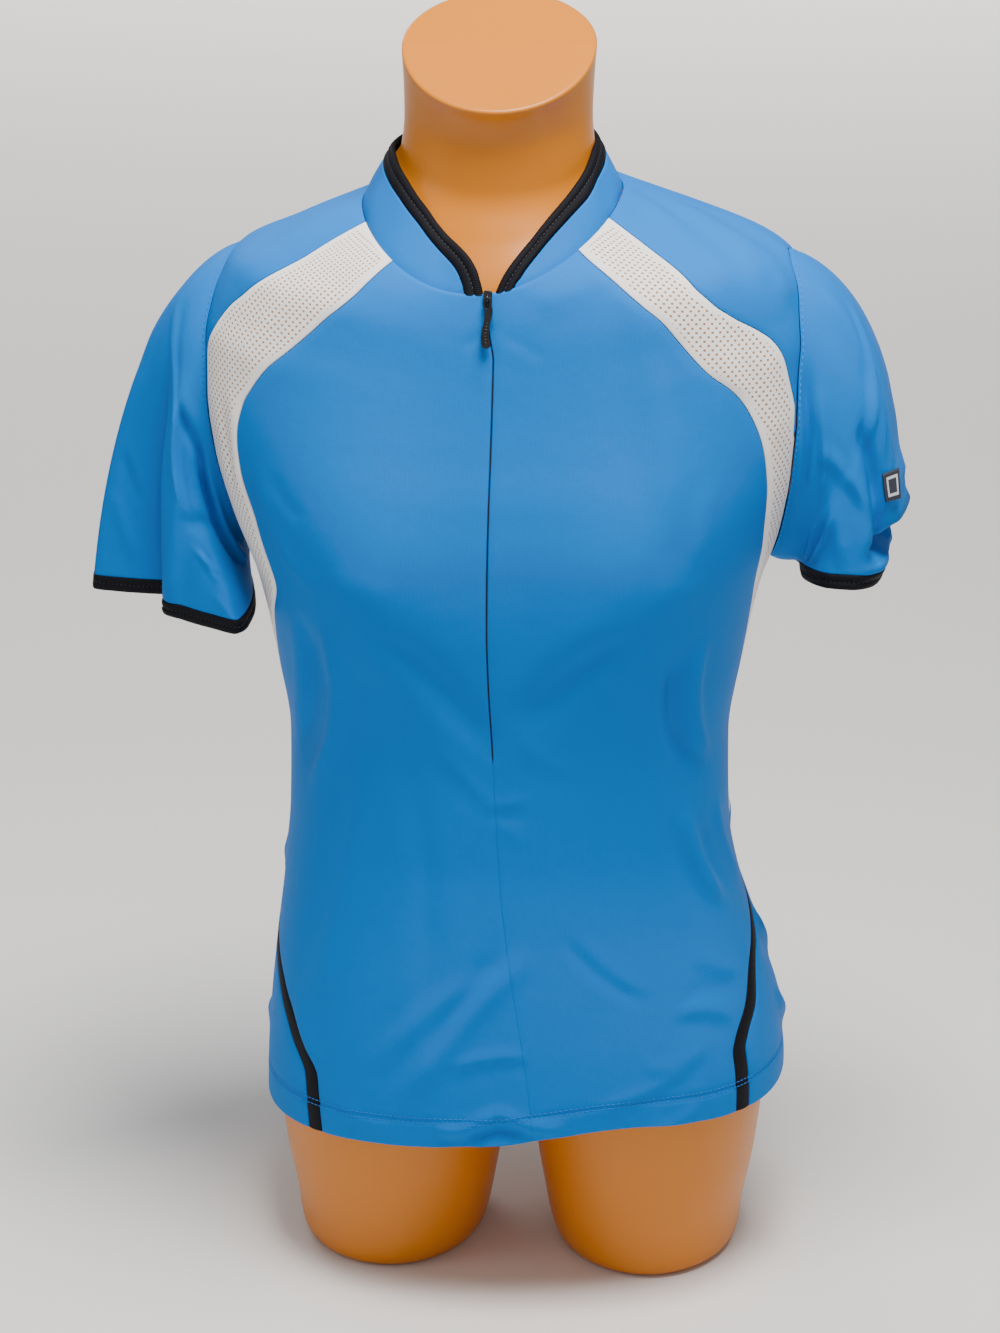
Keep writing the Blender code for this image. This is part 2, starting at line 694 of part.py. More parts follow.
def make_form(collection):
    """Trunk and neck as one loft, with the stumps joined on."""
    angles = [360 * i / FORM_COLUMNS for i in range(FORM_COLUMNS)]
    levels = spread(level_at(CROTCH_Z + CROTCH_CURVE), 1, FORM_ROWS) + [1.0]
    rows = [[form_point(angle, level) for angle in angles] for level in levels]
    rows.insert(0, [np.array([x * CROTCH_SHRINK, y * CROTCH_SHRINK, CROTCH_Z]) for x, y, _ in rows[0]])
    for ring in NECK:
        rows.append([ring_point(angle, ring, plane=True) for angle in angles])
    side_z, front_z, back_z, half_width, front, back, power = NECK[-1]
    cap = Ring(
        side_z + CAP_ROUNDING, front_z + CAP_ROUNDING, back_z + CAP_ROUNDING,
        half_width - CAP_ROUNDING, front - CAP_ROUNDING, back - CAP_ROUNDING, power,
    )
    rows.append([ring_point(angle, cap, plane=True) for angle in angles])
    return capped_loft("dress_form", rows, collection)


def make_stump(side, name, collection):
    rows = []
    for row in STUMP:
        ring = []
        for i in range(STUMP_COLUMNS):
            turn = 2 * math.pi * i / STUMP_COLUMNS
            across = side * row.x + STUMP_SHIFT + row.half_width * math.sin(turn)
            ring.append((across, -row.half_depth * math.cos(turn), row.z))
        rows.append(ring)
    return capped_loft(name, rows, collection)


def join(target, other):
    """Adds another solid to the target with a Boolean union, and keeps the other as a hidden helper."""
    other.hide_render = True
    other.display_type = "WIRE"
    union = target.modifiers.new("join", "BOOLEAN")
    union.operation = "UNION"
    union.object = other


# ---- Zip

def make_zip_tape(collection):
    """A strip behind the fronts, from just below the slider to the end of the zip."""
    first, last = level_at(ZIP_BOTTOM - ZIP_TAPE_BELOW), ZIP_TAPE_TOP_LEVEL
    rows = []
    for level in spread(first, last, ZIP_TAPE_ROWS) + [last]:
        row = []
        for part in (-1, -0.5, 0, 0.5, 1):
            angle = part * ZIP_TAPE_HALF
            row.append(trunk_point(angle, level) - ZIP_TAPE_BEHIND * trunk_normal(angle, level))
        rows.append(row)
    return cloth("zip_tape", rows, "black_zip", ZIP_TAPE_WALL, collection)


def zip_frame():
    """The slider's place, and the turn that brings local -Y out of the cloth and +Z up along it."""
    level = 1.0
    while np.linalg.norm(trunk_point(0, 1.0) - trunk_point(0, level)) < SLIDER_DOWN:
        level -= SLIDER_LEVEL_STEP
    down = trunk_point(0, level - PULL_LEVEL_SPAN) - trunk_point(0, level)
    slope = -math.atan2(-down[1], -down[2])
    return trunk_point(0, level), slope


def box(name, size, centre, finish, collection):
    mesh = bpy.data.meshes.new(name)
    shape = bmesh.new()
    bmesh.ops.create_cube(shape, size=1)
    bmesh.ops.scale(shape, vec=size, verts=shape.verts)
    bmesh.ops.translate(shape, vec=centre, verts=shape.verts)
    shape.to_mesh(mesh)
    shape.free()
    obj = bpy.data.objects.new(name, mesh)
    obj.data.materials.append(material(finish))
    collection.objects.link(obj)
    return obj


def pull_axis_out():
    """How far the pull's axis lies out of the cloth."""
    return SEAM_GAP + SLIDER[1] + LUG_WINDOW / 2


def make_zip(collection, helpers):
    """The slider with its lug, and the pull that swings on it."""
    place, slope = zip_frame()
    seat = SEAM_GAP + SLIDER[1]
    slider = box("zip_slider", SLIDER, (0, -SEAM_GAP - SLIDER[1] / 2, 0), "black_zip", collection)
    bevel = slider.modifiers.new("edges", "BEVEL")
    bevel.width = SLIDER_EDGE
    bevel.segments = 1
    leg = (LUG_WIDTH, LUG_WINDOW + LUG_BAR + LUG_SINK, LUG_BAR)
    leg_y = -seat - leg[1] / 2 + LUG_SINK
    leg_z = (LUG_WINDOW + LUG_BAR) / 2
    bar = (LUG_WIDTH, LUG_BAR, LUG_WINDOW + 2 * (LUG_BAR - LUG_BAR_INSET))
    bar_y = -seat - LUG_WINDOW - LUG_BAR / 2 + LUG_BAR_INSET
    lug_parts = [
        box("lug_upper_leg", leg, (0, leg_y, leg_z), "black_zip", helpers),
        box("lug_lower_leg", leg, (0, leg_y, -leg_z), "black_zip", helpers),
        box("lug_bar", bar, (0, bar_y, 0), "black_zip", helpers),
    ]
    for part in lug_parts:
        join(slider, part)
    for obj in [slider] + lug_parts:
        obj.location = place
        obj.rotation_euler = (slope, 0, 0)
    pull = make_pull(collection)
    axis = place + pull_axis_out() * np.array([0, -math.cos(slope), -math.sin(slope)])
    pull.location = axis
    pull.rotation_euler = (slope + math.radians(PULL_REST), 0, 0)


def make_pull(collection):
    """A flat tab with an eye at its upper end, drawn as an outline and laid in the plane of the cloth."""
    curve = bpy.data.curves.new("zip_pull", "CURVE")
    curve.dimensions = "2D"
    curve.fill_mode = "BOTH"
    curve.extrude = PULL_WALL / 2
    right, left = [], []
    for i in range(PULL_STEPS + 1):
        down = PULL_WALL / 2 - PULL_LENGTH * i / PULL_STEPS
        sway = PULL_SWAY * math.sin(2 * math.pi * i / PULL_STEPS) if i > PULL_STRAIGHT_STEPS else 0.0
        taper = PULL_WAIST + (1 - PULL_WAIST) * abs(math.cos(math.pi * i / PULL_STEPS))
        right.append((sway + PULL_WIDTH / 2 * taper, down))
        left.append((sway - PULL_WIDTH / 2 * taper, down))
    eye = [
        (-PULL_EYE_WIDTH / 2, -PULL_WALL / 2), (PULL_EYE_WIDTH / 2, -PULL_WALL / 2),
        (PULL_EYE_WIDTH / 2, -PULL_EYE_LENGTH), (-PULL_EYE_WIDTH / 2, -PULL_EYE_LENGTH),
    ]
    for outline in (right + left[::-1], eye):
        spline = curve.splines.new("POLY")
        spline.points.add(len(outline) - 1)
        for point, (x, y) in zip(spline.points, outline):
            point.co = (x, y, 0, 1)
        spline.use_cyclic_u = True
    flat = bpy.data.objects.new("zip_pull_outline", curve)
    collection.objects.link(flat)
    bpy.context.view_layer.update()
    mesh = bpy.data.meshes.new_from_object(flat.evaluated_get(bpy.context.evaluated_depsgraph_get()))
    shape = bmesh.new()
    shape.from_mesh(mesh)
    bmesh.ops.remove_doubles(shape, verts=shape.verts, dist=1e-6)
    # The outline's Y becomes the object's Z, so that the tab hangs down.
    for vert in shape.verts:
        x, y, z = vert.co
        vert.co = (x, -z, y)
    shape.to_mesh(mesh)
    shape.free()
    bpy.data.objects.remove(flat, do_unlink=True)
    pull = bpy.data.objects.new("zip_pull", mesh)
    mesh.materials.clear()
    mesh.materials.append(material("black_zip"))
    collection.objects.link(pull)
    return pull


# ---- Patch

def make_patch(collection):
    """A small woven patch on the right sleeve, made from the sleeve's surface moved out."""
    count = len(armhole_loop(1))
    first, last = (round(angle * count / 360) for angle in PATCH_ANGLES)
    lengths = [PATCH_LENGTHS[0] + (PATCH_LENGTHS[1] - PATCH_LENGTHS[0]) * i / 2 for i in range(3)]
    lines = sleeve_lines("right")
    rows = [[lines[i](length) for i in range(last, first - 1, -1)] for length in reversed(lengths)]
    middle = len(rows[0]) // 2
    across = rows[1][-1] - rows[1][0]
    up = rows[2][middle] - rows[0][middle]
    normal = np.cross(across, up)
    normal /= np.linalg.norm(normal)
    out = normal * (SEAM_GAP + PATCH_WALL + PATCH_LIFT)
    rows = [[point + out for point in row] for row in rows]
    return cloth("sleeve_patch", rows, "black_binding", PATCH_WALL, collection)


def main():
    clear_scene()
    collection = new_collection("cycling_jersey")
    helpers = new_collection("helpers")
    for side, name in ((-1, "left"), (1, "right")):
        make_front(side, f"front_{name}", collection)
        make_mesh(side, f"mesh_{name}", collection)
        make_yoke(side, f"shoulder_{name}", collection)
        make_stripe(side, f"side_stripe_{name}", collection)
        make_sleeve(name, collection)
    make_back(collection)
    make_collar(collection)
    make_zip_tape(collection)
    make_zip(collection, helpers)
    make_patch(collection)
    form = make_form(collection)
    for side, name in ((-1, "left"), (1, "right")):
        join(form, make_stump(side, f"stump_{name}", helpers))
    origin = bpy.data.objects.new("outline_centre", None)
    origin.location = [-value for value in OUTLINE_CENTRE]
    collection.objects.link(origin)
    for obj in list(collection.objects) + list(helpers.objects):
        if obj is not origin:
            obj.parent = origin


main()
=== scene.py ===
"""A women's cycling jersey on a limbless dress form, in metres and degrees, +Z up, front towards -Y.

A place on the trunk is an angle round it (0 at the front centre, 90 at +X) and a level (0 at the hem, 1 at
the neckline). A place on a sleeve is a turn round it (0 at its outer side, 90 in front) and a part of the
way from the armhole to the cuff. Each panel of cloth is a fine thin shell with rolled edges at its seams,
and its creases are laid on as soft strokes.
"""

import math
from collections import namedtuple

import bpy
import numpy as np
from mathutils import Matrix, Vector


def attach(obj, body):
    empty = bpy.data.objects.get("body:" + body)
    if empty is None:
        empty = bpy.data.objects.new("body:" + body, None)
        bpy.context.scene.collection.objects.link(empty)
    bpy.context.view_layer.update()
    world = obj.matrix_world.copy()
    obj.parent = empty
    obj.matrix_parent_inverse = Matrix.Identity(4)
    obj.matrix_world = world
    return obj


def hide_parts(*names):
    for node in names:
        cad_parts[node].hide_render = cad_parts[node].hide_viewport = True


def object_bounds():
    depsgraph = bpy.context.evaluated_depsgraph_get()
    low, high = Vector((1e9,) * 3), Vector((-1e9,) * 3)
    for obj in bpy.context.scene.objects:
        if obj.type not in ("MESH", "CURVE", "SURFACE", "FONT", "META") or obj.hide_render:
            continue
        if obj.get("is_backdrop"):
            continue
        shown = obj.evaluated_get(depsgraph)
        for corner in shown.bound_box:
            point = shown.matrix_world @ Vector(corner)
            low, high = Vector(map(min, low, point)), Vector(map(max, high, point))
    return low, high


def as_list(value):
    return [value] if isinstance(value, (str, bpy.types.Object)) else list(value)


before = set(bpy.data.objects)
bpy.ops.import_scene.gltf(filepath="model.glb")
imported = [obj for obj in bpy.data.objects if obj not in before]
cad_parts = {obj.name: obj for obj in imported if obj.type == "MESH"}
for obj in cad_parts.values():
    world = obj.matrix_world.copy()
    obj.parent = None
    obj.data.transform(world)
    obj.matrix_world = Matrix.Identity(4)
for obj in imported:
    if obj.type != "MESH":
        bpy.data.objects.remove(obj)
CAD_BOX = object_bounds()

BODY = "jersey_and_form"

# The trunk's own axis, from the middle of the whole
OFFSET = np.array([0.0055, 0.0010, 0.0])
SIDES = {"left": -1, "right": 1}


def table(kind, *rows):
    """Rows of named values."""
    return [kind(*row) for row in rows]


# ---- The trunk and its seams

# The cloth's wall, half the gap between two sewn panels, the gap to a binding, and the hem's slant and how
# high it reaches
WALL = 0.0015
HALF_GAP = 0.0002
SEAM_GAP = 0.0003
HEM_TILT = 0.065
HEM_TILT_TOP = 0.282

# How far the seams turn round the trunk, at heights on its side
Twist = namedtuple("Twist", "side_z angle")
TWIST = table(
    Twist,
    (0.110, 6.0), (0.230, 3.0), (0.340, -0.5), (0.450, -2.5), (0.620, -2.5), (0.668, -1.0),
)

# How far the trunk's rings lie to the side
Shift = namedtuple("Shift", "side_z x")
SHIFT = table(
    Shift,
    (0.050, 0.008), (0.120, 0.010), (0.280, 0.000), (0.620, 0.001), (0.640, -0.002), (0.668, -0.007),
    (0.780, -0.006),
)

# Rings round the trunk: their heights at the side, in front and behind, their reach, and how square they are
Ring = namedtuple("Ring", "side_z front_z back_z half_width front back power")
TRUNK = table(
    Ring,
    (0.1100, 0.1150, 0.1080, 0.1580, 0.1160, 0.1180, 2.3),
    (0.1320, 0.1350, 0.1300, 0.1575, 0.1170, 0.1200, 2.3),
    (0.1640, 0.1650, 0.1630, 0.1535, 0.1165, 0.1180, 2.3),
    (0.2020, 0.2020, 0.2020, 0.1460, 0.1140, 0.1110, 2.3),
    (0.2520, 0.2520, 0.2520, 0.1355, 0.1090, 0.0970, 2.3),
    (0.2920, 0.2920, 0.2920, 0.1310, 0.1065, 0.0890, 2.3),
    (0.3400, 0.3400, 0.3400, 0.1300, 0.1070, 0.0900, 2.3),
    (0.3900, 0.3880, 0.3900, 0.1370, 0.1110, 0.0960, 2.3),
    (0.4410, 0.4370, 0.4410, 0.1470, 0.1140, 0.1030, 2.3),
    (0.4820, 0.4740, 0.4820, 0.1620, 0.1130, 0.1070, 2.4),
    (0.5220, 0.5090, 0.5220, 0.1730, 0.1080, 0.1090, 2.5),
    (0.5560, 0.5360, 0.5520, 0.1780, 0.1010, 0.1070, 2.5),
    (0.5880, 0.5630, 0.5820, 0.1770, 0.0945, 0.1010, 2.5),
    (0.6120, 0.5850, 0.6060, 0.1710, 0.0900, 0.0930, 2.4),
    (0.6330, 0.6020, 0.6340, 0.1580, 0.0865, 0.0810, 2.4),
    (0.6500, 0.6160, 0.6570, 0.1240, 0.0830, 0.0700, 2.3),
    (0.6680, 0.6300, 0.6780, 0.0770, 0.0780, 0.0580, 2.2),
)

# How the cloth hangs: lower over the left shoulder, in at the right of the neck, and lifted at the hem
LEFT_DROP = 0.008
LEFT_DROP_Z = (0.540, 0.630)
LEFT_DROP_X = 0.03
LEFT_DROP_SPREAD = 0.09
LEFT_DROP_LOST = 0.25
LEFT_DROP_LOST_X = 0.12
LEFT_DROP_LOST_SPREAD = 0.05
NECK_IN = 0.006
NECK_IN_Z = (0.645, 0.668)
NECK_IN_X = -0.007
NECK_IN_SPREAD = 0.06
HEM_LIFT = 0.0085
HEM_LIFT_ANGLE = 30.0
HEM_LIFT_SPREAD = 24.0
HEM_LIFT_REACH = 0.075

# The bust: how far out, where, and how far it reaches
BUST_OUT = 0.016
BUST_X = 0.083
BUST_Z = 0.459
BUST_HALF_WIDTH = 0.052
BUST_ABOVE = 0.075
BUST_BELOW = 0.052

# Seams, at heights on the side: the front's outer one, the insert's outer one, the back's and the shoulder's
Seam = namedtuple("Seam", "side_z angle")
FRONT_SEAM = {
    "left": table(
        Seam,
        (0.110, 59.5), (0.145, 59.7), (0.168, 65.4), (0.194, 74.7), (0.205, 80.7), (0.220, 88.5),
        (0.237, 93), (0.292, 92), (0.352, 84), (0.422, 68), (0.455, 60.2), (0.491, 60.9), (0.514, 62.8),
        (0.540, 63.5), (0.559, 62.8), (0.574, 61.0), (0.588, 58.8), (0.602, 55.8), (0.620, 51.8),
        (0.638, 46.9), (0.654, 43.6), (0.668, 41.6),
    ),
    "right": table(
        Seam,
        (0.110, 55), (0.151, 55.7), (0.163, 58.0), (0.178, 63.6), (0.201, 72.0), (0.210, 78.2),
        (0.229, 91.5), (0.237, 94), (0.292, 92), (0.374, 87.5), (0.400, 86.5), (0.431, 81.5),
        (0.465, 74.2), (0.495, 70.0), (0.520, 68.3), (0.547, 66.5), (0.569, 64.0), (0.579, 62.0),
        (0.592, 58.0), (0.612, 53.8), (0.625, 51.2), (0.636, 48.4), (0.649, 45.7), (0.668, 44.3),
    ),
}
INSERT_OUTER_SEAM = {
    "left": table(
        Seam,
        (0.542, 75.8), (0.582, 75.8), (0.597, 74.2), (0.613, 72.0), (0.625, 69.3), (0.636, 66.8),
        (0.645, 65.4), (0.653, 64.6), (0.668, 65.5),
    ),
    "right": table(
        Seam,
        (0.542, 76.0), (0.574, 74.0), (0.590, 73.0), (0.601, 71.5), (0.609, 69.0), (0.618, 65.4),
        (0.628, 62.5), (0.639, 61.0), (0.652, 61.4), (0.668, 64.5),
    ),
}
SIDE_BACK_SEAM = table(
    Seam,
    (0.237, 95.6), (0.292, 97), (0.352, 98), (0.412, 97), (0.452, 92),
)
SHOULDER_SEAM = table(
    Seam,
    (0.633, 92), (0.650, 96), (0.668, 100),
)

# The armhole: the angle of its middle, how far it reaches to the front and the back, and its heights
ARMHOLE_CENTRE = 92.0
ARMHOLE_FRONT = 17.0
ARMHOLE_BACK = 19.0
ARMHOLE_BOTTOM = 0.452
ARMHOLE_TOP = 0.633

# The yoke's lower tip and its least width there, and the side stripe's heights, widths and steepest slope
YOKE_TIP = 0.5425
YOKE_TIP_WIDTH = 0.0012
STRIPE_TOP = 0.237
STRIPE_FULL = 0.200
STRIPE_WIDTH = 0.0110
STRIPE_TOP_WIDTH = 0.0030
STRIPE_STEEPEST = 2.2
SIDE_SEAM_FADE = 0.1

# ---- The collar

# The collar's opening edge on each side: length along the neckline from the front, and height above it
CollarEdge = namedtuple("CollarEdge", "arc rise")
COLLAR_EDGE = {
    "left": table(
        CollarEdge,
        (0.0020, 0.0), (0.0041, 0.0075), (0.0073, 0.0145), (0.0118, 0.0205), (0.0180, 0.0256),
        (0.0280, 0.0305), (0.0420, 0.0347), (0.0580, 0.0375), (0.0760, 0.0380), (0.1000, 0.0365),
        (0.1350, 0.0345), (0.1800, 0.0335), (0.2397, 0.0330),
    ),
    "right": table(
        CollarEdge,
        (0.0040, 0.0), (0.0080, 0.0075), (0.0130, 0.0135), (0.0200, 0.0187), (0.0290, 0.0229),
        (0.0400, 0.0262), (0.0530, 0.0280), (0.0681, 0.0288), (0.0900, 0.0294), (0.1200, 0.0312),
        (0.1600, 0.0325), (0.2296, 0.0330),
    ),
}

# How far the collar leans in, at angles from the front, in degrees
CollarLean = namedtuple("CollarLean", "angle lean")
COLLAR_LEAN = table(
    CollarLean,
    (4, 20), (13, 30), (25, 38), (38, 38), (50, 34), (70, 31), (90, 29), (135, 22), (180, 16),
)

# The collar's ends, its gap to the neckline, its binding, its columns and rows, and its least height
COLLAR_END_TURN = 0.016
COLLAR_GAP = -0.0010
COLLAR_BINDING = 0.0105
COLLAR_SIDE_GAP = 0.4
COLLAR_COLUMNS = 300
COLLAR_ROW_STEP = 0.0022
COLLAR_LEAST = 0.0008
OPENING_CROWDING = 1.25
BINDING_COLUMNS = 150

# Soft folds of the collar: angle, half width in degrees and how far out
CollarFold = namedtuple("CollarFold", "angle spread height")
COLLAR_FOLDS = table(
    CollarFold,
    (58, 7, 0.0012), (70, 5, -0.0006), (82, 7, 0.0012), (-68, 8, 0.0010), (-100, 9, 0.0008),
    (120, 9, 0.0009), (160, 10, 0.0006), (-150, 10, 0.0007),
)
COLLAR_FULL = 0.024

# ---- The sleeves

# The cuff's binding, and the gaps at the cuff and the armhole
CUFF_BINDING = 0.0095
CUFF_GAP = -0.0003
SLEEVE_GAP = 0.0001
UNDERARM_GAP = 0.0004

# The cuff's lower edge, by the sleeve's own angle: 0 is its outer side, 90 its front, 180 under the arm
CuffPoint = namedtuple("CuffPoint", "turn x y z")
CUFF_RING = {
    "left": table(
        CuffPoint,
        (10, -0.2470, -0.004, 0.4176), (30, -0.2320, -0.010, 0.4182), (48, -0.2140, -0.013, 0.4185),
        (60, -0.1990, -0.014, 0.4185), (68, -0.1975, -0.024, 0.4175), (76, -0.2005, -0.036, 0.4165),
        (92, -0.1880, -0.047, 0.4160), (112, -0.1690, -0.058, 0.4155), (130, -0.1540, -0.066, 0.4155),
        (144, -0.1475, -0.056, 0.4158), (160, -0.1465, -0.036, 0.4160), (180, -0.1490, -0.013, 0.4170),
        (206, -0.1560, 0.012, 0.4180), (236, -0.1720, 0.032, 0.4200), (270, -0.2000, 0.042, 0.4220),
        (300, -0.2260, 0.036, 0.4210), (330, -0.2430, 0.020, 0.4190), (352, -0.2480, 0.006, 0.4180),
    ),
    "right": table(
        CuffPoint,
        (0, 0.2180, -0.006, 0.4475), (28, 0.2165, -0.026, 0.4480), (54, 0.2120, -0.047, 0.4490),
        (80, 0.1995, -0.059, 0.4505), (106, 0.1860, -0.056, 0.4500), (130, 0.1755, -0.043, 0.4480),
        (155, 0.1700, -0.026, 0.4460), (180, 0.1690, -0.008, 0.4455), (210, 0.1720, 0.014, 0.4470),
        (240, 0.1830, 0.032, 0.4490), (270, 0.1970, 0.040, 0.4500), (300, 0.2110, 0.034, 0.4490),
        (330, 0.2195, 0.016, 0.4480),
    ),
}

# How the sleeve leaves the armhole and arrives at its cuff: directions, and how far it keeps to them
LEAVE_OUT = 0.93
LEAVE_FORWARD = -0.10
LEAVE_DOWN = -0.30
LEAVE_DOWN_UNDER = -0.25
ARRIVE_OUT = 0.10
ARRIVE_FORWARD = -0.06
ARRIVE_IN = {"left": 0.0, "right": 0.29}
LEAVE_REACH = 0.050
LEAVE_REACH_LOST_UNDER = 0.038
ARRIVE_REACH = 0.097
ARRIVE_REACH_LOST_UNDER = 0.085

# ---- The zip

# The zip's lower end, half its gap and that of the closed seam below it, its tape, whose half width is an
# angle in degrees, and its coil
ZIP_BOTTOM = 0.358
ZIP_END_FADE = 0.004
ZIP_HALF_GAP = 0.0004
CLOSED_HALF_GAP = 0.00003
ZIP_TAPE_HALF = 5.5
ZIP_TAPE_BEHIND = 0.0021
ZIP_TAPE_WALL = 0.0010
ZIP_TAPE_BELOW = 0.006
ZIP_TAPE_TOP_LEVEL = 0.985
ZIP_TAPE_ROWS = 110
ZIP_TAPE_COLUMNS = 21
COIL_TOP_LEVEL = 0.975
COIL_PITCH = 0.0012
COIL_HALF = (0.0011, 0.0003325, 0.00028)
COIL_OUT = 0.00038

# The pull: its eye's axis, its tilt in radians, its sizes, and where its ends start, in parts of its length
PULL_AXIS = (-0.000891, -0.082492, 0.625645)
PULL_TURN = -0.277
PULL_LENGTH = 0.0280
PULL_WIDTH = 0.0050
PULL_WALL = 0.0012
PULL_EYE_WIDTH = 0.0024
PULL_EYE_LENGTH = 0.0055
PULL_EYE_STEPS = 20
PULL_EDGE = 0.00022
PULL_STEPS = 41
PULL_SWAY = 0.0009
PULL_STRAIGHT = 0.12
PULL_SWAY_START = 0.15
PULL_WAIST = 0.72
PULL_END = 0.93
PULL_TIP = 0.25
PULL_TOP = 0.05
PULL_TOP_ROUND = 0.6
GRIP_BARS = 7
GRIP_TOP = -0.0135
GRIP_STEP = 0.0018
GRIP_HALF = 0.0003
GRIP_INSET = 0.0007
GRIP_SIDES = 6

# The slider, tilted in radians, and the bridge that the pull's eye hangs on
SLIDER_TURN = -0.3555
SLIDER_WALL = 0.0030
SLIDER_EDGE = 0.0005
SLIDER_FACE = 0.0021
SLIDER_AXIS_OUT = 0.0036
BRIDGE_RADIUS = 0.00175
BRIDGE_HALF_WIDTH = 0.00065
BRIDGE_HALF_WALL = 0.00042
BRIDGE_SUNK = 0.0004
BRIDGE_STEPS = 15
BRIDGE_SIDES = 12

# The slider's body, from its lower end to its upper one: height and half width
SliderPoint = namedtuple("SliderPoint", "up half")
SLIDER_OUTLINE = table(
    SliderPoint,
    (-0.0048, 0.0009), (-0.0042, 0.0015), (-0.0030, 0.0019), (0.0000, 0.0021), (0.0025, 0.0024),
    (0.0038, 0.0023), (0.0045, 0.0018), (0.0048, 0.0010),
)

# ---- The patch

# Its corners on the sleeve, from the upper front one backwards and then below
PatchCorner = namedtuple("PatchCorner", "turn part")
PATCH_CORNERS = table(
    PatchCorner,
    (55, 0.68), (38, 0.715), (41, 0.785), (54.5, 0.765),
)

# Its rows and columns, its wall and how far it stands out, its seam in parts of its width, and its woven ribs
PATCH_STEPS = 25
PATCH_WALL = 0.0010
PATCH_LIFT = 0.0007
PATCH_EDGE_DROP = 0.0005
PATCH_SEAM = 0.10
PATCH_SIDE_STEPS = 12
PATCH_RIBS = 26

# ---- The dress form

# How far inside the cloth the form lies
Clearance = namedtuple("Clearance", "side_z all_round front_centre")
CLEARANCE = table(
    Clearance,
    (0.110, 0.0060, 0.006), (0.202, 0.0050, 0.006), (0.292, 0.0080, 0.008), (0.390, 0.0050, 0.009),
    (0.459, 0.0022, 0.010), (0.522, 0.0035, 0.006), (0.582, 0.0050, 0.004), (0.612, 0.0030, 0.003),
    (0.645, 0.0019, 0.003), (0.668, 0.0018, 0.003),
)

# Over how many degrees the clearance in front fades, and what is added to it
FRONT_CENTRE_SPREAD = 22
FRONT_CENTRE_EXTRA = 0.0015

# Rings up the neck block
NECK = table(
    Ring,
    (0.6760, 0.6520, 0.6820, 0.0650, 0.0550, 0.0480, 2.1),
    (0.6900, 0.6750, 0.6960, 0.0550, 0.0440, 0.0430, 2.0),
    (0.7100, 0.6980, 0.7160, 0.0530, 0.0430, 0.0420, 2.0),
    (0.7300, 0.7150, 0.7450, 0.0535, 0.0480, 0.0480, 2.0),
    (0.7480, 0.7215, 0.7660, 0.0545, 0.0530, 0.0530, 2.0),
)

# Points round the form, and its rings up the trunk and the neck block
FORM_COLUMNS = 120
FORM_ROWS = 150
NECK_ROWS = 44

# The rounded upper edge, by its radius and the turns round it, and the rings that close a flat end
CAP_ROUND = 0.0022
CAP_TURNS = (20, 40, 60, 75, 90)
CAP_RISE = 0.7
CAP_SHARES = (0.75, 0.45, 0.15)

# Where the trunk closes between the stumps: its height, the curve above it and how far it draws in
CROTCH_Z = 0.142
CROTCH_CURVE = 0.012
CROTCH_SHRINK = 0.86
CROTCH_STEPS = (0.0, 0.25, 0.5, 0.75)

# The thigh stumps, by their height
Stump = namedtuple("Stump", "z x half_width half_depth")
STUMP = table(
    Stump,
    (0.000, 0.0790, 0.0490, 0.0590), (0.003, 0.0790, 0.0540, 0.0640), (0.010, 0.0785, 0.0575, 0.0670),
    (0.030, 0.0775, 0.0610, 0.0695), (0.068, 0.0778, 0.0674, 0.0755), (0.110, 0.0775, 0.0712, 0.0820),
    (0.150, 0.0745, 0.0700, 0.0860), (0.190, 0.0650, 0.0560, 0.0800),
)
STUMP_SHIFT = 0.0067
STUMP_COLUMNS = 96
STUMP_EDGE_HEIGHTS = (0.0, 0.0008, 0.0018, 0.003, 0.005, 0.0075, 0.010)
STUMP_HEIGHTS = np.concatenate([STUMP_EDGE_HEIGHTS, np.linspace(0.016, 0.19, 50)])

# ---- The cloth's fine form

# Steps of the panels, and how their rounded edges, seams and hem lie in the cloth
COLUMN_STEP = 0.0026
ROW_STEP = 0.0028
EDGE_STEPS = (0.0, 0.00012, 0.0004, 0.0008, 0.0016, 0.0028)
EDGE_SHARE = 0.3
EDGE_ROUND = 0.00068
EDGE_ROLL = 0.46
SEAM_DIP = 0.0006
SEAM_DIP_WIDTH = 0.0026
CLOSED_SEAM = 0.18
SOFT_SEAM = 0.35
SLEEVE_SEAM_DIP = 0.00025
SLEEVE_SEAM_ROLL = 0.4
NECKLINE_ROLL = 0.3
COLLAR_BASE_ROLL = 0.3
HEM_HEIGHT = 0.0195
HEM_PROUD = 0.00035
HEM_DIP = 0.0006
HEM_DIP_WIDTH = 0.0014
HEM_STEP_BELOW = 0.0012
HEM_STEP_WIDTH = 0.0018
SLEEVE_TURNS = np.linspace(-180, 180, 169)
SLEEVE_ROW_STEP = 0.0026

# Steps, in levels and parts, by which directions out of the surfaces and the seams' slopes are found
NORMAL_STEP = 0.002
SLOPE_STEP = 0.004
PART_STEP = 0.01
PART_SAMPLES = 160

# The bindings: the wall, where their seam lies on the width and how deep, and the point of their section
# along which their length is measured
BINDING_WALL = 0.0026
BINDING_SEAM = 0.5
BINDING_GROOVE = 0.07
BINDING_LENGTH_ROW = 5

# The shape of a crease: how far it reaches past its ends, in parts of its length, the dip along one side of
# it, and the radius in metres that makes lengths of its angles
STROKE_BEYOND = 0.12
STROKE_FADE = 0.35
STROKE_DIP = 0.35
STROKE_DIP_AT = 1.9
STROKE_DIP_WIDTH = 1.3
CREASE_RADIUS = 0.12

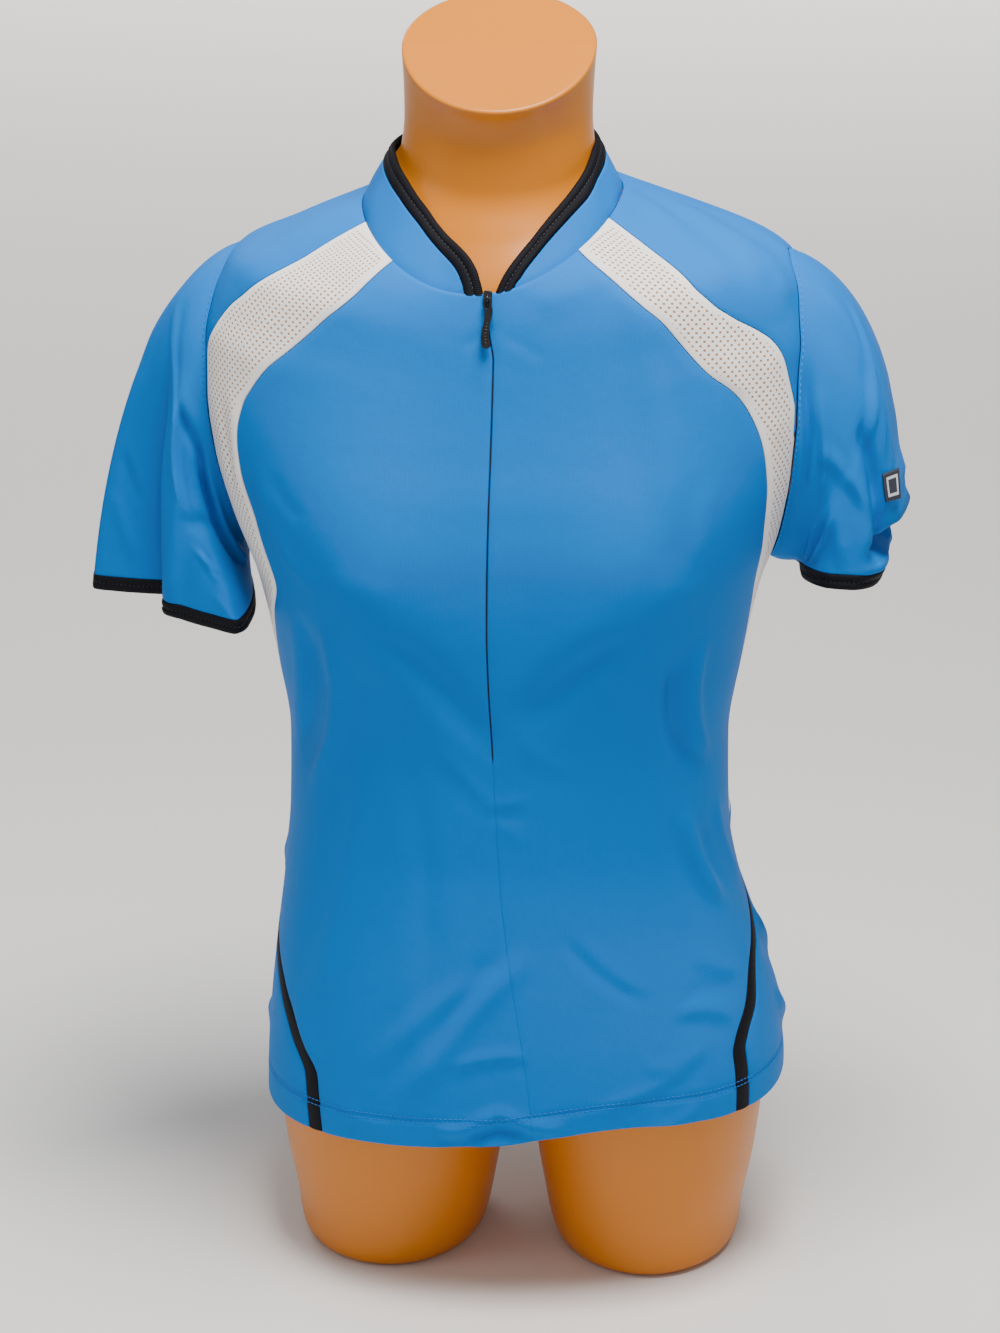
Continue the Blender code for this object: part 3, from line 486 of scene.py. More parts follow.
# Creases of the trunk: soft strokes from one place to another, by angle and height, in degrees and metres.
# Height is how far the cloth stands out, and is negative for a trough; bow bends the stroke sideways.
Crease = namedtuple("Crease", "angle_a z_a angle_b z_b half_width height bow")
TRUNK_CREASES = table(
    Crease,
    # front: from the right shoulder to the bust, and drag lines round it
    (43, 0.632, 42, 0.500, 0.0085, 0.0013, -0.004), (46, 0.610, 49, 0.500, 0.0100, -0.0007, -0.003),
    (53, 0.525, 47, 0.478, 0.0060, 0.0008, 0.002), (-61, 0.520, -47, 0.468, 0.0050, 0.0009, 0.006),
    (-57, 0.520, -46, 0.500, 0.0045, -0.0006, 0.002), (-55, 0.478, -42, 0.462, 0.0060, 0.0010, 0.002),
    (16, 0.624, 38, 0.640, 0.0070, 0.0009, 0.003), (-3, 0.610, -12, 0.598, 0.0035, -0.0004, 0.000),
    (3, 0.606, 14, 0.594, 0.0035, -0.0003, 0.000),
    # front: under the bust towards the end of the zip
    (-29, 0.437, -3, 0.366, 0.0090, -0.0034, -0.004), (35, 0.440, 10, 0.384, 0.0095, -0.0032, 0.004),
    (-16, 0.366, -3, 0.334, 0.0045, 0.0009, 0.001), (-4, 0.331, 9, 0.336, 0.0035, 0.0007, 0.001),
    (1, 0.326, 9, 0.322, 0.0035, -0.0004, 0.000), (3, 0.318, 8, 0.305, 0.0035, 0.0004, 0.000),
    (8, 0.372, 22, 0.352, 0.0050, 0.0006, 0.002),
    # front: long folds from the bust to the waist at both sides
    (-42, 0.432, -60, 0.325, 0.0060, 0.0042, -0.008), (-50, 0.432, -66, 0.345, 0.0055, -0.0040, -0.006),
    (53, 0.424, 66, 0.345, 0.0060, 0.0046, 0.008), (47, 0.420, 58, 0.350, 0.0065, -0.0036, 0.006),
    (-41, 0.468, -25, 0.462, 0.0120, 0.0011, 0.000), (35, 0.466, 51, 0.462, 0.0120, 0.0011, 0.000),
    (56, 0.316, 70, 0.250, 0.0060, 0.0036, 0.003), (71, 0.310, 88, 0.246, 0.0050, 0.0020, 0.004),
    (63, 0.300, 78, 0.248, 0.0050, -0.0018, 0.003),
    # front: hanging folds and ripples of the lower left
    (-40, 0.350, -57, 0.192, 0.0090, 0.0020, -0.006), (-28, 0.355, -24, 0.204, 0.0080, -0.0015, -0.010),
    (-21, 0.330, -18, 0.250, 0.0080, 0.0005, -0.003), (6, 0.236, -30, 0.142, 0.0075, 0.0026, 0.004),
    (-1, 0.236, -22, 0.170, 0.0055, -0.0016, 0.003), (-6, 0.226, -38, 0.160, 0.0060, 0.0015, 0.004),
    (-16, 0.166, 5, 0.176, 0.0040, 0.0014, -0.003), (-22, 0.124, -4, 0.139, 0.0050, 0.0026, 0.004),
    (-4, 0.139, 15, 0.129, 0.0050, 0.0024, 0.003), (-12, 0.123, 4, 0.128, 0.0045, -0.0022, 0.000),
    (-62, 0.186, -54, 0.150, 0.0060, 0.0016, 0.003), (-48, 0.128, -34, 0.120, 0.0060, 0.0010, 0.002),
    # front: lower right, drawn to the side stripe
    (21, 0.246, 40, 0.206, 0.0035, -0.0011, 0.004), (24, 0.250, 43, 0.210, 0.0045, 0.0007, 0.004),
    (46, 0.196, 64, 0.182, 0.0050, 0.0016, -0.004), (50, 0.206, 66, 0.196, 0.0045, -0.0009, -0.003),
    (54, 0.226, 70, 0.205, 0.0040, 0.0012, 0.002), (36, 0.164, 55, 0.172, 0.0060, 0.0010, 0.003),
    (22, 0.140, 50, 0.160, 0.0045, 0.0009, 0.000), (36, 0.122, 52, 0.134, 0.0060, 0.0012, 0.002),
    # right yoke and insert: folds down from the collar to the armhole
    (80, 0.661, 63, 0.628, 0.0042, 0.0022, 0.003), (92, 0.659, 69, 0.628, 0.0045, 0.0020, 0.003),
    (87, 0.662, 66, 0.640, 0.0030, -0.0013, 0.002), (84, 0.649, 74, 0.616, 0.0050, 0.0018, 0.003),
    (98, 0.650, 82, 0.622, 0.0050, 0.0014, 0.002), (58, 0.610, 62, 0.570, 0.0055, 0.0012, 0.003),
    (66, 0.590, 68, 0.540, 0.0045, 0.0010, 0.002),
    # left yoke and insert
    (-84, 0.652, -72, 0.624, 0.0060, 0.0009, -0.002), (-68, 0.560, -66, 0.505, 0.0040, 0.0012, -0.002),
    (-71, 0.550, -69, 0.500, 0.0030, -0.0010, -0.002), (-62, 0.620, -66, 0.575, 0.0060, 0.0007, 0.002),
    # sides
    (-92, 0.300, -112, 0.250, 0.0060, 0.0027, 0.003), (-84, 0.262, -106, 0.200, 0.0065, 0.0024, 0.003),
    (96, 0.290, 116, 0.235, 0.0060, 0.0027, 0.003), (90, 0.214, 112, 0.176, 0.0070, 0.0029, 0.003),
    (-86, 0.400, -104, 0.352, 0.0055, 0.0016, 0.003), (92, 0.392, 110, 0.340, 0.0055, 0.0016, 0.003),
    (84, 0.168, 104, 0.140, 0.0065, 0.0027, 0.002), (-82, 0.150, -104, 0.132, 0.0070, 0.0024, 0.002),
    # back: over the shoulder blades, across the waist and down to the hem
    (128, 0.600, 150, 0.500, 0.0100, 0.0030, 0.005), (-126, 0.602, -151, 0.505, 0.0095, 0.0028, -0.005),
    (112, 0.498, 152, 0.428, 0.0070, 0.0026, 0.006), (-110, 0.502, -146, 0.440, 0.0075, 0.0024, -0.006),
    (110, 0.470, 140, 0.400, 0.0060, -0.0018, 0.005), (-112, 0.476, -156, 0.392, 0.0065, 0.0020, -0.006),
    (136, 0.560, 122, 0.470, 0.0070, 0.0017, -0.004), (-140, 0.560, -121, 0.462, 0.0070, 0.0019, 0.004),
    (124, 0.400, 160, 0.345, 0.0070, 0.0029, 0.006), (-120, 0.392, -158, 0.338, 0.0070, 0.0031, 0.006),
    (128, 0.352, 176, 0.318, 0.0065, 0.0034, 0.005), (-132, 0.340, -178, 0.300, 0.0065, 0.0032, 0.005),
    (118, 0.318, 158, 0.282, 0.0060, -0.0020, 0.004), (-116, 0.312, -154, 0.272, 0.0060, -0.0020, 0.004),
    (150, 0.290, 197, 0.284, 0.0060, 0.0027, -0.004), (132, 0.262, 152, 0.180, 0.0085, 0.0024, 0.004),
    (-130, 0.256, -148, 0.176, 0.0085, 0.0024, -0.004), (166, 0.250, 172, 0.160, 0.0090, 0.0015, 0.003),
    (-168, 0.232, -163, 0.150, 0.0085, -0.0015, 0.002), (140, 0.128, 160, 0.120, 0.0060, 0.0024, 0.002),
    (-146, 0.130, -166, 0.121, 0.0060, 0.0024, 0.002), (172, 0.640, 188, 0.640, 0.0060, 0.0014, 0.002),
)

# Creases of the sleeves, by the sleeve's own angle and the part of its length
SleeveCrease = namedtuple("SleeveCrease", "turn_a part_a turn_b part_b half_width height")
SLEEVE_CREASES = {
    "left": table(
        SleeveCrease,
        (28, 0.22, 80, 0.26, 0.0045, 0.0014), (78, 0.20, 94, 0.50, 0.0045, 0.0036),
        (95, 0.42, 84, 0.98, 0.0050, 0.0036), (80, 0.24, 106, 0.10, 0.0050, -0.0030),
        (104, 0.12, 160, 0.46, 0.0060, -0.0085), (102, 0.58, 130, 0.28, 0.0040, -0.0020),
        (111, 0.61, 122, 0.71, 0.0035, 0.0022), (106, 0.66, 126, 0.62, 0.0035, 0.0016),
        (23, 0.69, 43, 0.77, 0.0030, -0.0014), (22, 0.78, 45, 0.92, 0.0040, 0.0016),
        (120, 0.80, 138, 0.97, 0.0050, 0.0018), (30, 0.12, 8, 0.45, 0.0100, 0.0014),
        (56, 0.30, 62, 0.95, 0.0070, -0.0016), (-30, 0.40, -58, 0.85, 0.0065, 0.0020),
        (-70, 0.30, -84, 0.80, 0.0060, 0.0018), (-110, 0.35, -124, 0.85, 0.0055, 0.0020),
    ),
    "right": table(
        SleeveCrease,
        (65, 0.46, 57, 0.93, 0.0045, -0.0055), (44, 0.42, 42, 0.80, 0.0110, 0.0036),
        (52, 0.842, -14, 0.860, 0.0060, 0.0100), (66, 0.898, -28, 0.916, 0.0042, -0.0150),
        (60, 0.770, -14, 0.790, 0.0085, 0.0052), (75, 0.70, 67, 0.99, 0.0080, 0.0014),
        (91, 0.20, 84, 0.51, 0.0030, 0.0016), (84, 0.50, 69, 0.75, 0.0030, 0.0019),
        (34, 0.965, -34, 0.975, 0.0055, -0.0034), (12, 0.28, 62, 0.54, 0.0036, 0.0024),
        (19, 0.36, 44, 0.66, 0.0036, -0.0018), (28, 0.12, 40, 0.42, 0.0055, 0.0016),
        (106, 0.44, 92, 0.90, 0.0075, 0.0022), (66, 0.040, 114, 0.130, 0.0048, -0.0040),
        (72, 0.12, 104, 0.34, 0.0055, 0.0022), (104, 0.56, 130, 0.78, 0.0055, 0.0024),
        (122, 0.40, 140, 0.66, 0.0050, 0.0020), (-44, 0.35, -60, 0.80, 0.0065, 0.0020),
        (-76, 0.30, -88, 0.80, 0.0060, 0.0018), (-108, 0.35, -122, 0.85, 0.0055, 0.0020),
        (-20, 0.60, -34, 0.92, 0.0060, -0.0020),
    ),
}

# Metres of a sleeve's cloth to a degree round it, and down its whole length
TURN_LENGTH = 0.0009
PART_LENGTH = 0.19

# Stitches: length, gap to the next one and half thickness of the thread
Stitch = namedtuple("Stitch", "length gap half")
HEM_STITCH = Stitch(0.0024, 0.0007, 0.00026)
SEAM_STITCH = Stitch(0.0024, 0.0014, 0.00028)
BINDING_STITCH = Stitch(0.0019, 0.0008, 0.00024)
PATCH_STITCH = Stitch(0.0012, 0.0005, 0.00018)

# The thread: rings along it, by their part of its length and their size, and how it sinks into the cloth
STITCH_RINGS = ((-0.5, 0.35), (-0.32, 0.9), (0.0, 1.0), (0.32, 0.9), (0.5, 0.35))
STITCH_TURNS = [2 * math.pi * k / 5 for k in range(5)]
STITCH_FLAT = 1.3
STITCH_SINK = 0.00006
STITCH_END_SINK = 0.9

# Where the rows run: above the hem's line and out of the cloth, round the armholes, round the cuffs, and
# along the collar's binding without its last points
HEM_ROWS = ((-0.0016, 0.000075), (0.0016, -0.0001))
HEM_STITCH_POINTS = 721
ARMHOLE_STITCH_TURN = 168
ARMHOLE_STITCH_PART = 0.013
ARMHOLE_STITCH_POINTS = 420
CUFF_STITCH_POINTS = 500
COLLAR_STITCH_INSET = 2

# The knit's wales and courses, the ribs of the binding, and the mesh's holes and its plain margin
WALE = 0.0009
COURSE = 0.0008
RIB = 0.0011
HOLE_PITCH = 0.0046
HOLE_ROW = 0.0025
HOLE_RADIUS = 0.00072
HOLE_CORE = 0.75
HOLE_RIM = 1.3
HOLE_MARGIN = 0.0036
HOLE_MARGIN_FADE = 0.0012

# The cut of each cloth piece: width and length of the rectangle it is cut from, its own area where that is
# less, how it is held and what it rests on
Cut = namedtuple("Cut", "width length area held rests_on", defaults=(None, "draped", ["form_shell"]))
CUTS = {
    "front_left": Cut(0.200, 0.530, 0.083),
    "front_right": Cut(0.205, 0.530, 0.086),
    "back": Cut(0.440, 0.560, 0.215),
    "mesh_left": Cut(0.085, 0.420, 0.019),
    "mesh_right": Cut(0.070, 0.420, 0.012),
    "shoulder_left": Cut(0.100, 0.125, 0.0063),
    "shoulder_right": Cut(0.120, 0.135, 0.0086),
    "side_stripe_left": Cut(0.0115, 0.155),
    "side_stripe_right": Cut(0.0115, 0.145),
    "sleeve_left": Cut(0.310, 0.210, 0.041, "hung", ["cloth_front_left", "cloth_back"]),
    "sleeve_right": Cut(0.270, 0.190, 0.033, "hung", ["cloth_front_right", "cloth_back"]),
    "cuff_binding_left": Cut(0.0115, 0.330, None, "hung", ["cloth_sleeve_left"]),
    "cuff_binding_right": Cut(0.0115, 0.245, None, "hung", ["cloth_sleeve_right"]),
    "collar": Cut(0.400, 0.032, 0.0086, "draped", ["cloth_back"]),
    "collar_binding": Cut(0.0115, 0.425, None, "draped", ["cloth_collar"]),
    "zip_tape": Cut(0.0215, 0.275),
    "sleeve_patch": Cut(0.0135, 0.0165, None, "draped", ["cloth_sleeve_right"]),
}

# ---- Stage and camera

FLOOR_RADIUS = 16.0
FLOOR_SIDES = 64
SKY_COLOUR = (0.93, 0.96, 1.0)
SKY_STRENGTH = 0.27

# Soft boxes: place, size in metres, power in watts, colour and the place they are turned to
MIDDLE = (0.0, 0.0, 0.42)
Light = namedtuple("Light", "name place size power colour target")
LIGHTS = table(
    Light,
    ("top", (0.25, -0.45, 2.3), (0.9, 0.8), 78, (1.0, 0.99, 0.97), MIDDLE),
    ("front", (0.7, -2.6, 1.6), (1.6, 1.3), 6, (1.0, 0.995, 0.985), MIDDLE),
    ("left", (-2.0, -1.0, 1.3), (1.0, 1.6), 7, (0.96, 0.98, 1.0), MIDDLE),
    ("rear", (-1.3, 2.0, 1.9), (1.2, 1.0), 15, (1.0, 0.99, 0.98), MIDDLE),
    ("behind", (0.0, 4.2, 3.0), (6.0, 3.0), 380, (1.0, 0.99, 0.97), (0.0, 6.8, 0.0)),
)

# The camera's place round its target, in metres and degrees, and its lens and sensor in millimetres
CAMERA_TARGET = (-0.0005, 0.001, 0.374)
CAMERA_DISTANCE = 2.4
CAMERA_ELEVATION = 22.0
CAMERA_AZIMUTH = 4.5
CAMERA_LENS = 109.5
CAMERA_CLIP = (0.05, 30)
SENSOR = 36.0


# ---- Curves through the tables

def curve_through(places, values, at):
    """Smooth curve through values at increasing places that never swings past them."""
    places, values = np.asarray(places, float), np.asarray(values, float)
    at = np.clip(at, places[0], places[-1])
    step = np.diff(places)
    slope = np.diff(values) / step
    tangent = np.zeros(len(values))
    tangent[0], tangent[-1] = slope[0], slope[-1]
    for i in range(1, len(values) - 1):
        if slope[i - 1] * slope[i] > 0:
            near, far = 2 * step[i] + step[i - 1], step[i] + 2 * step[i - 1]
            tangent[i] = (near + far) / (near / slope[i - 1] + far / slope[i])
    i = np.clip(np.searchsorted(places, at, side="right") - 1, 0, len(step) - 1)
    s = (at - places[i]) / step[i]
    return (
        values[i] * (1 + 2 * s) * (1 - s) ** 2
        + values[i + 1] * s * s * (3 - 2 * s)
        + step[i] * s * (1 - s) * (tangent[i] * (1 - s) - tangent[i + 1] * s)
    )


def column(rows, name):
    """One named value of every row."""
    return np.array([getattr(row, name) for row in rows])


def reading(rows, place, value, at):
    """A table's value at places between its rows."""
    return curve_through(column(rows, place), column(rows, value), at)


def running(steps):
    """The way travelled to each point, from the lengths of the steps between them."""
    return np.concatenate([[0], np.cumsum(steps)])


def ring_levels(rows):
    """Each ring's level, by the way travelled up the side, and that whole way's length."""
    lengths = np.hypot(np.diff(column(rows, "side_z")), np.diff(column(rows, "half_width")))
    return running(lengths) / lengths.sum(), lengths.sum()


# The rings' levels, the way up the side in metres, and levels and heights close together
TRUNK_LEVELS, TRUNK_LENGTH = ring_levels(TRUNK)
FINE_LEVELS = np.linspace(0, 1, 4001)
FINE_SIDE_Z = curve_through(TRUNK_LEVELS, column(TRUNK, "side_z"), FINE_LEVELS)


def level_at(side_z):
    """The level whose ring crosses the side at this height."""
    return np.interp(side_z, FINE_SIDE_Z, FINE_LEVELS)


def side_height(level):
    """The height at which a level's ring crosses the side."""
    return curve_through(TRUNK_LEVELS, column(TRUNK, "side_z"), level)


def seam_angle(rows, level):
    """The angle that a table gives, in degrees, at a level."""
    return curve_through(level_at(column(rows, "side_z")), column(rows, "angle"), level)


def ease(value):
    """0 up to 0, 1 from 1, and a smooth step between them."""
    value = np.clip(value, 0, 1)
    return value * value * (3 - 2 * value)


def unit(vectors):
    """The vectors, at length 1."""
    return vectors / np.maximum(np.linalg.norm(vectors, axis=-1, keepdims=True), 1e-12)


def stack(x, y, z):
    """Points from their three coordinates."""
    return np.stack(np.broadcast_arrays(x, y, z), axis=-1)


def full_circle(count):
    """Turns all round, in radians."""
    return np.linspace(0, 2 * math.pi, count, endpoint=False)


def turn_from(middle, angle):
    """The turn from a middle angle to another, between -180 and 180 degrees."""
    return (angle - middle + 180) % 360 - 180


# ---- The trunk's surface

def ring_points(angle, ring, plane=False):
    """Points of rings, from their seven values, at angles in degrees. A plane ring is tilted, not bent."""
    side_z, front_z, back_z, half_width, front, back, power = ring
    across, along = np.sin(np.radians(angle)), -np.cos(np.radians(angle))
    ahead = along < 0
    depth, end_z = np.where(ahead, front, back), np.where(ahead, front_z, back_z)
    radius = (np.abs(across / half_width) ** power + np.abs(along / depth) ** power) ** (-1 / power)
    bend = np.abs(radius * along) / depth if plane else along * along
    shift = reading(SHIFT, "side_z", "x", side_z)
    return stack(radius * across + shift, radius * along, side_z + (end_z - side_z) * bend)


def trunk_points(angle, level):
    """Points of the cloth's outer surface, before its creases."""
    ring = [curve_through(TRUNK_LEVELS, column(TRUNK, name), level) for name in Ring._fields]
    points = ring_points(angle, ring)
    x, y, z = points[..., 0], points[..., 1], points[..., 2]
    from_bust = z - BUST_Z
    reach = np.where(from_bust > 0, BUST_ABOVE, BUST_BELOW)
    for bust_x in (-BUST_X, BUST_X):
        aside = (x - bust_x) / BUST_HALF_WIDTH
        y = np.where(y < 0, y - BUST_OUT * np.exp(-aside * aside - (from_bust / reach) ** 2), y)
    above_hem = ring[0] - TRUNK[0].side_z
    tilted = 1 - ease(above_hem / (HEM_TILT_TOP - TRUNK[0].side_z))
    low, high = NECK_IN_Z
    x = x - NECK_IN * ease((x - NECK_IN_X) / NECK_IN_SPREAD) * ease((ring[0] - low) / (high - low))
    aside = turn_from(HEM_LIFT_ANGLE, angle) / HEM_LIFT_SPREAD
    lift = HEM_LIFT * np.exp(-aside * aside) * (1 - ease(above_hem / HEM_LIFT_REACH))
    return stack(x, y, z + HEM_TILT * x * tilted + lift - left_drop(x, z))


def left_drop(x, z):
    """How much lower the left shoulder and the collar over it hang."""
    low, high = LEFT_DROP_Z
    full = ease((LEFT_DROP_X - x) / LEFT_DROP_SPREAD)
    lost = LEFT_DROP_LOST * ease((-x - LEFT_DROP_LOST_X) / LEFT_DROP_LOST_SPREAD)
    return LEFT_DROP * full * (1 - lost) * ease((z - low) / (high - low))


def one_degree(angle, level):
    """The step between two points half a degree to each side."""
    return trunk_points(angle + 0.5, level) - trunk_points(angle - 0.5, level)


def trunk_normals(angle, level):
    """Directions out of the trunk."""
    above, below = np.minimum(level + NORMAL_STEP, 1), np.maximum(level - NORMAL_STEP, 0)
    up_it = trunk_points(angle, above) - trunk_points(angle, below)
    return unit(np.cross(one_degree(angle, level), up_it))


def metres_per_degree(angle, level):
    """How far apart two places one degree apart are."""
    return np.linalg.norm(one_degree(angle, level), axis=-1)


def twist_at(level):
    """How far the seams turn round the trunk, in degrees."""
    return seam_angle(TWIST, level)


# The knit's own coordinates: lengths round from the front centre and up from the hem
KNIT_ANGLES = np.linspace(0, 180, 181)
KNIT_LEVELS = np.linspace(0, 1, 201)
KNIT_POINTS = trunk_points(KNIT_ANGLES[None, :], KNIT_LEVELS[:, None])

# Just inside the grid's last column and row
KNIT_LAST_ANGLE = 179.999
KNIT_LAST_LEVEL = 0.99999


def lengths_along(points, axis):
    """The way travelled along the rows or the columns of a grid of points."""
    steps = np.linalg.norm(np.diff(points, axis=axis), axis=-1)
    pad = [(1, 0), (0, 0)] if axis == 0 else [(0, 0), (1, 0)]
    return np.cumsum(np.pad(steps, pad), axis=axis)


KNIT_U = lengths_along(KNIT_POINTS, 1)
KNIT_V = lengths_along(KNIT_POINTS, 0)


def from_grid(lengths, angle, level):
    """Bilinear reading of a grid of the knit's lengths, which has a column to each degree."""
    a = np.clip(angle, 0, KNIT_LAST_ANGLE)
    b = np.clip(level, 0, KNIT_LAST_LEVEL) * (len(KNIT_LEVELS) - 1)
    i, j = b.astype(int), a.astype(int)
    s, t = b - i, a - j
    low = lengths[i, j] * (1 - t) + lengths[i, j + 1] * t
    high = lengths[i + 1, j] * (1 - t) + lengths[i + 1, j + 1] * t
    return low * (1 - s) + high * s


def knit_uv(angle, level):
    """Lengths in the cloth, in metres, for the materials' patterns."""
    turn = turn_from(0, angle)
    across = np.sign(turn) * from_grid(KNIT_U, np.abs(turn), level)
    return np.stack([across, from_grid(KNIT_V, np.abs(turn), level)], -1)


def stroke(s, t, a, b, half_width, height, bow):
    """The height that one stroke adds at places (s, t) in metres: a rounded line that fades at both ends."""
    start, run = np.array(a, float), np.array(b, float) - np.array(a, float)
    length = np.hypot(*run)
    along = ((s - start[0]) * run[0] + (t - start[1]) * run[1]) / length ** 2
    across = ((s - start[0]) * run[1] - (t - start[1]) * run[0]) / length
    across = across - bow * 4 * np.clip(along, 0, 1) * (1 - np.clip(along, 0, 1))
    beyond = np.maximum(np.maximum(-along, along - 1), 0) * length
    fade = ease((along + STROKE_BEYOND) / STROKE_FADE) * ease((1 + STROKE_BEYOND - along) / STROKE_FADE)
    ridge = np.exp(-(across / half_width) ** 2)
    from_dip = across - STROKE_DIP_AT * half_width
    dip = STROKE_DIP * np.exp(-(from_dip / (STROKE_DIP_WIDTH * half_width)) ** 2)
    return height * fade * (ridge - dip) * np.exp(-(beyond / (2 * half_width)) ** 2)


def trunk_creases(points):
    """How far the trunk's creases push the cloth out."""
    shift = reading(SHIFT, "side_z", "x", points[..., 2])
    angle = np.degrees(np.arctan2(points[..., 0] - shift, -points[..., 1]))
    radius = np.hypot(points[..., 0], points[..., 1])
    total = np.zeros(angle.shape)
    for crease in TRUNK_CREASES:
        middle = (crease.angle_a + crease.angle_b) / 2
        aside = np.radians(turn_from(middle, angle)) * radius
        reach = np.radians((crease.angle_b - crease.angle_a) / 2) * CREASE_RADIUS
        a, b = (-reach, crease.z_a), (reach, crease.z_b)
        total += stroke(aside, points[..., 2], a, b, crease.half_width, crease.height, crease.bow)
    return total


def on_trunk(angle, level, out):
    """Points a length out of the trunk's creased cloth, and the directions out of it there."""
    points, normals = trunk_points(angle, level), trunk_normals(angle, level)
    return points + normals * (trunk_creases(points) + out)[..., None], normals


# ---- Seams

def armhole_angle(level, half_opening):
    """The angle of the armhole's front or back edge."""
    bottom, top = level_at(ARMHOLE_BOTTOM), level_at(ARMHOLE_TOP)
    middle = 2 * (level - bottom) / (top - bottom) - 1
    return ARMHOLE_CENTRE + half_opening * math.sqrt(max(0.0, 1 - middle * middle))


def name_of(side):
    """The name of a side, from its sign."""
    return "right" if side > 0 else "left"


def zip_open(level):
    """0 below the zip's lower end and 1 above it."""
    return ease((side_height(level) - ZIP_BOTTOM) / ZIP_END_FADE)


def zip_edge(side, level):
    """The front's centre edge: the zip's gap is wider than a seam's, and below the zip the seam is closed."""
    open_part = float(zip_open(level))
    gap = ZIP_HALF_GAP * open_part + CLOSED_HALF_GAP * (1 - open_part)
    return (gap - HALF_GAP) / metres_per_degree(0.0, level)


def front_edge(side, level):
    """The front's outer edge."""
    return float(seam_angle(FRONT_SEAM[name_of(side)], level))


def stripe_back_edge(side, level):
    """The stripe's back edge: its width is measured square to its own slanted line."""
    full = 1 - ease((side_height(level) - STRIPE_FULL) / (STRIPE_TOP - STRIPE_FULL))
    width = STRIPE_TOP_WIDTH + (STRIPE_WIDTH - STRIPE_TOP_WIDTH) * full
    start = front_edge(side, level)
    per_degree = metres_per_degree(side * start, level)
    above, below = level + SLOPE_STEP, max(level - SLOPE_STEP, 0)
    rise = (front_edge(side, above) - front_edge(side, below)) * per_degree
    slope = min(abs(rise) / (2 * SLOPE_STEP * TRUNK_LENGTH), STRIPE_STEEPEST)
    return float(start + width * math.sqrt(1 + slope * slope) / per_degree)


def back_edge(side, level):
    """The back's edge: behind the stripe, up the side, round the armhole and along the shoulder."""
    if level <= level_at(STRIPE_TOP):
        return stripe_back_edge(side, level)
    if level <= level_at(ARMHOLE_BOTTOM):
        offset = stripe_back_edge(side, level_at(STRIPE_TOP)) - SIDE_BACK_SEAM[0].angle
        fade = 1 - ease((level - level_at(STRIPE_TOP)) / SIDE_SEAM_FADE)
        return float(seam_angle(SIDE_BACK_SEAM, level) + offset * fade)
    if level < level_at(ARMHOLE_TOP):
        return armhole_angle(level, ARMHOLE_BACK)
    return float(seam_angle(SHOULDER_SEAM, level))


def far_back_edge(side, level):
    """The back panel's other edge, on from its first one round the back."""
    return 360 - back_edge(-side, level)


def yoke_front_edge(side, level):
    """The seam between the mesh insert and the yoke, which stays clear of the armhole's edge."""
    armhole = yoke_back_edge(side, level)
    narrowest = armhole - YOKE_TIP_WIDTH / metres_per_degree(side * armhole, level)
    return float(min(seam_angle(INSERT_OUTER_SEAM[name_of(side)], level), narrowest))


def mesh_back_edge(side, level):
    """The mesh insert's outer edge: up the side, round the armhole and along the yoke."""
    if level <= level_at(ARMHOLE_BOTTOM):
        return back_edge(side, level)
    if level < level_at(YOKE_TIP):
        return armhole_angle(level, -ARMHOLE_FRONT)
    return yoke_front_edge(side, level)


def yoke_back_edge(side, level):
    """The yoke's outer edge: round the armhole and along the shoulder."""
    if level < level_at(ARMHOLE_TOP):
        return armhole_angle(level, -ARMHOLE_FRONT)
    return float(seam_angle(SHOULDER_SEAM, level))


# ---- Meshes

def rolled(distance, wall):
    """How far a cloth's face lies below its outer surface, this far from its edge: the edge is rounded."""
    inside = np.clip(1 - distance / EDGE_ROUND, 0, 1)
    return wall * EDGE_ROLL * (1 - np.sqrt(1 - inside ** 2))


def link(name, mesh, finish, replaces, slot, body=BODY):
    """Puts a mesh in the scene as a piece of a body, in place of the plain solid of a name."""
    obj = bpy.data.objects.new(name, mesh)
    bpy.context.scene.collection.objects.link(obj)
    mesh.materials.append(finish)
    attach(obj, body)
    if replaces:
        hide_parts(replaces)
    return obj


def mesh_from(name, points, faces, uv=None, edge=None):
    """A smooth mesh of the trunk's points, with lengths in the cloth and distances to its edges as UVs."""
    mesh = bpy.data.meshes.new(name)
    mesh.from_pydata((np.asarray(points) + OFFSET).tolist(), [], [list(map(int, face)) for face in faces])
    mesh.shade_smooth()
    corners = np.zeros(len(mesh.loops), np.int32)
    mesh.loops.foreach_get("vertex_index", corners)
    for layer_name, values in (("knit", uv), ("edge", edge)):
        if values is not None:
            layer = mesh.uv_layers.new(name=layer_name)
            layer.uv.foreach_set("vector", np.asarray(values, np.float32)[corners].ravel())
    mesh.validate()
    return mesh


def grid_faces(rows, columns, start=0, flip=False):
    """The four-sided faces of a grid of points."""
    r, c = np.meshgrid(np.arange(rows - 1), np.arange(columns - 1), indexing="ij")
    low = start + r * columns + c
    faces = np.stack([low, low + 1, low + columns + 1, low + columns], -1).reshape(-1, 4)
    return faces[:, ::-1] if flip else faces


def tube_faces(start, rings, sides):
    """Faces of a closed tube, whose rings of points lie one after the other."""
    faces = []
    for ring in range(start, start + (rings - 1) * sides, sides):
        for k in range(sides):
            a, b = ring + k, ring + (k + 1) % sides
            faces.append((a, b, b + sides, a + sides))
    last = start + (rings - 1) * sides
    return faces + [tuple(range(start + sides - 1, start - 1, -1)), tuple(range(last, last + sides))]


def rim_faces(line, offset, flip):
    """Faces that join the outer and the inner side along a border line."""
    a, b = line[:-1], line[1:]
    faces = np.stack([a, a + offset, b + offset, b], -1)
    return faces[:, ::-1] if flip else faces


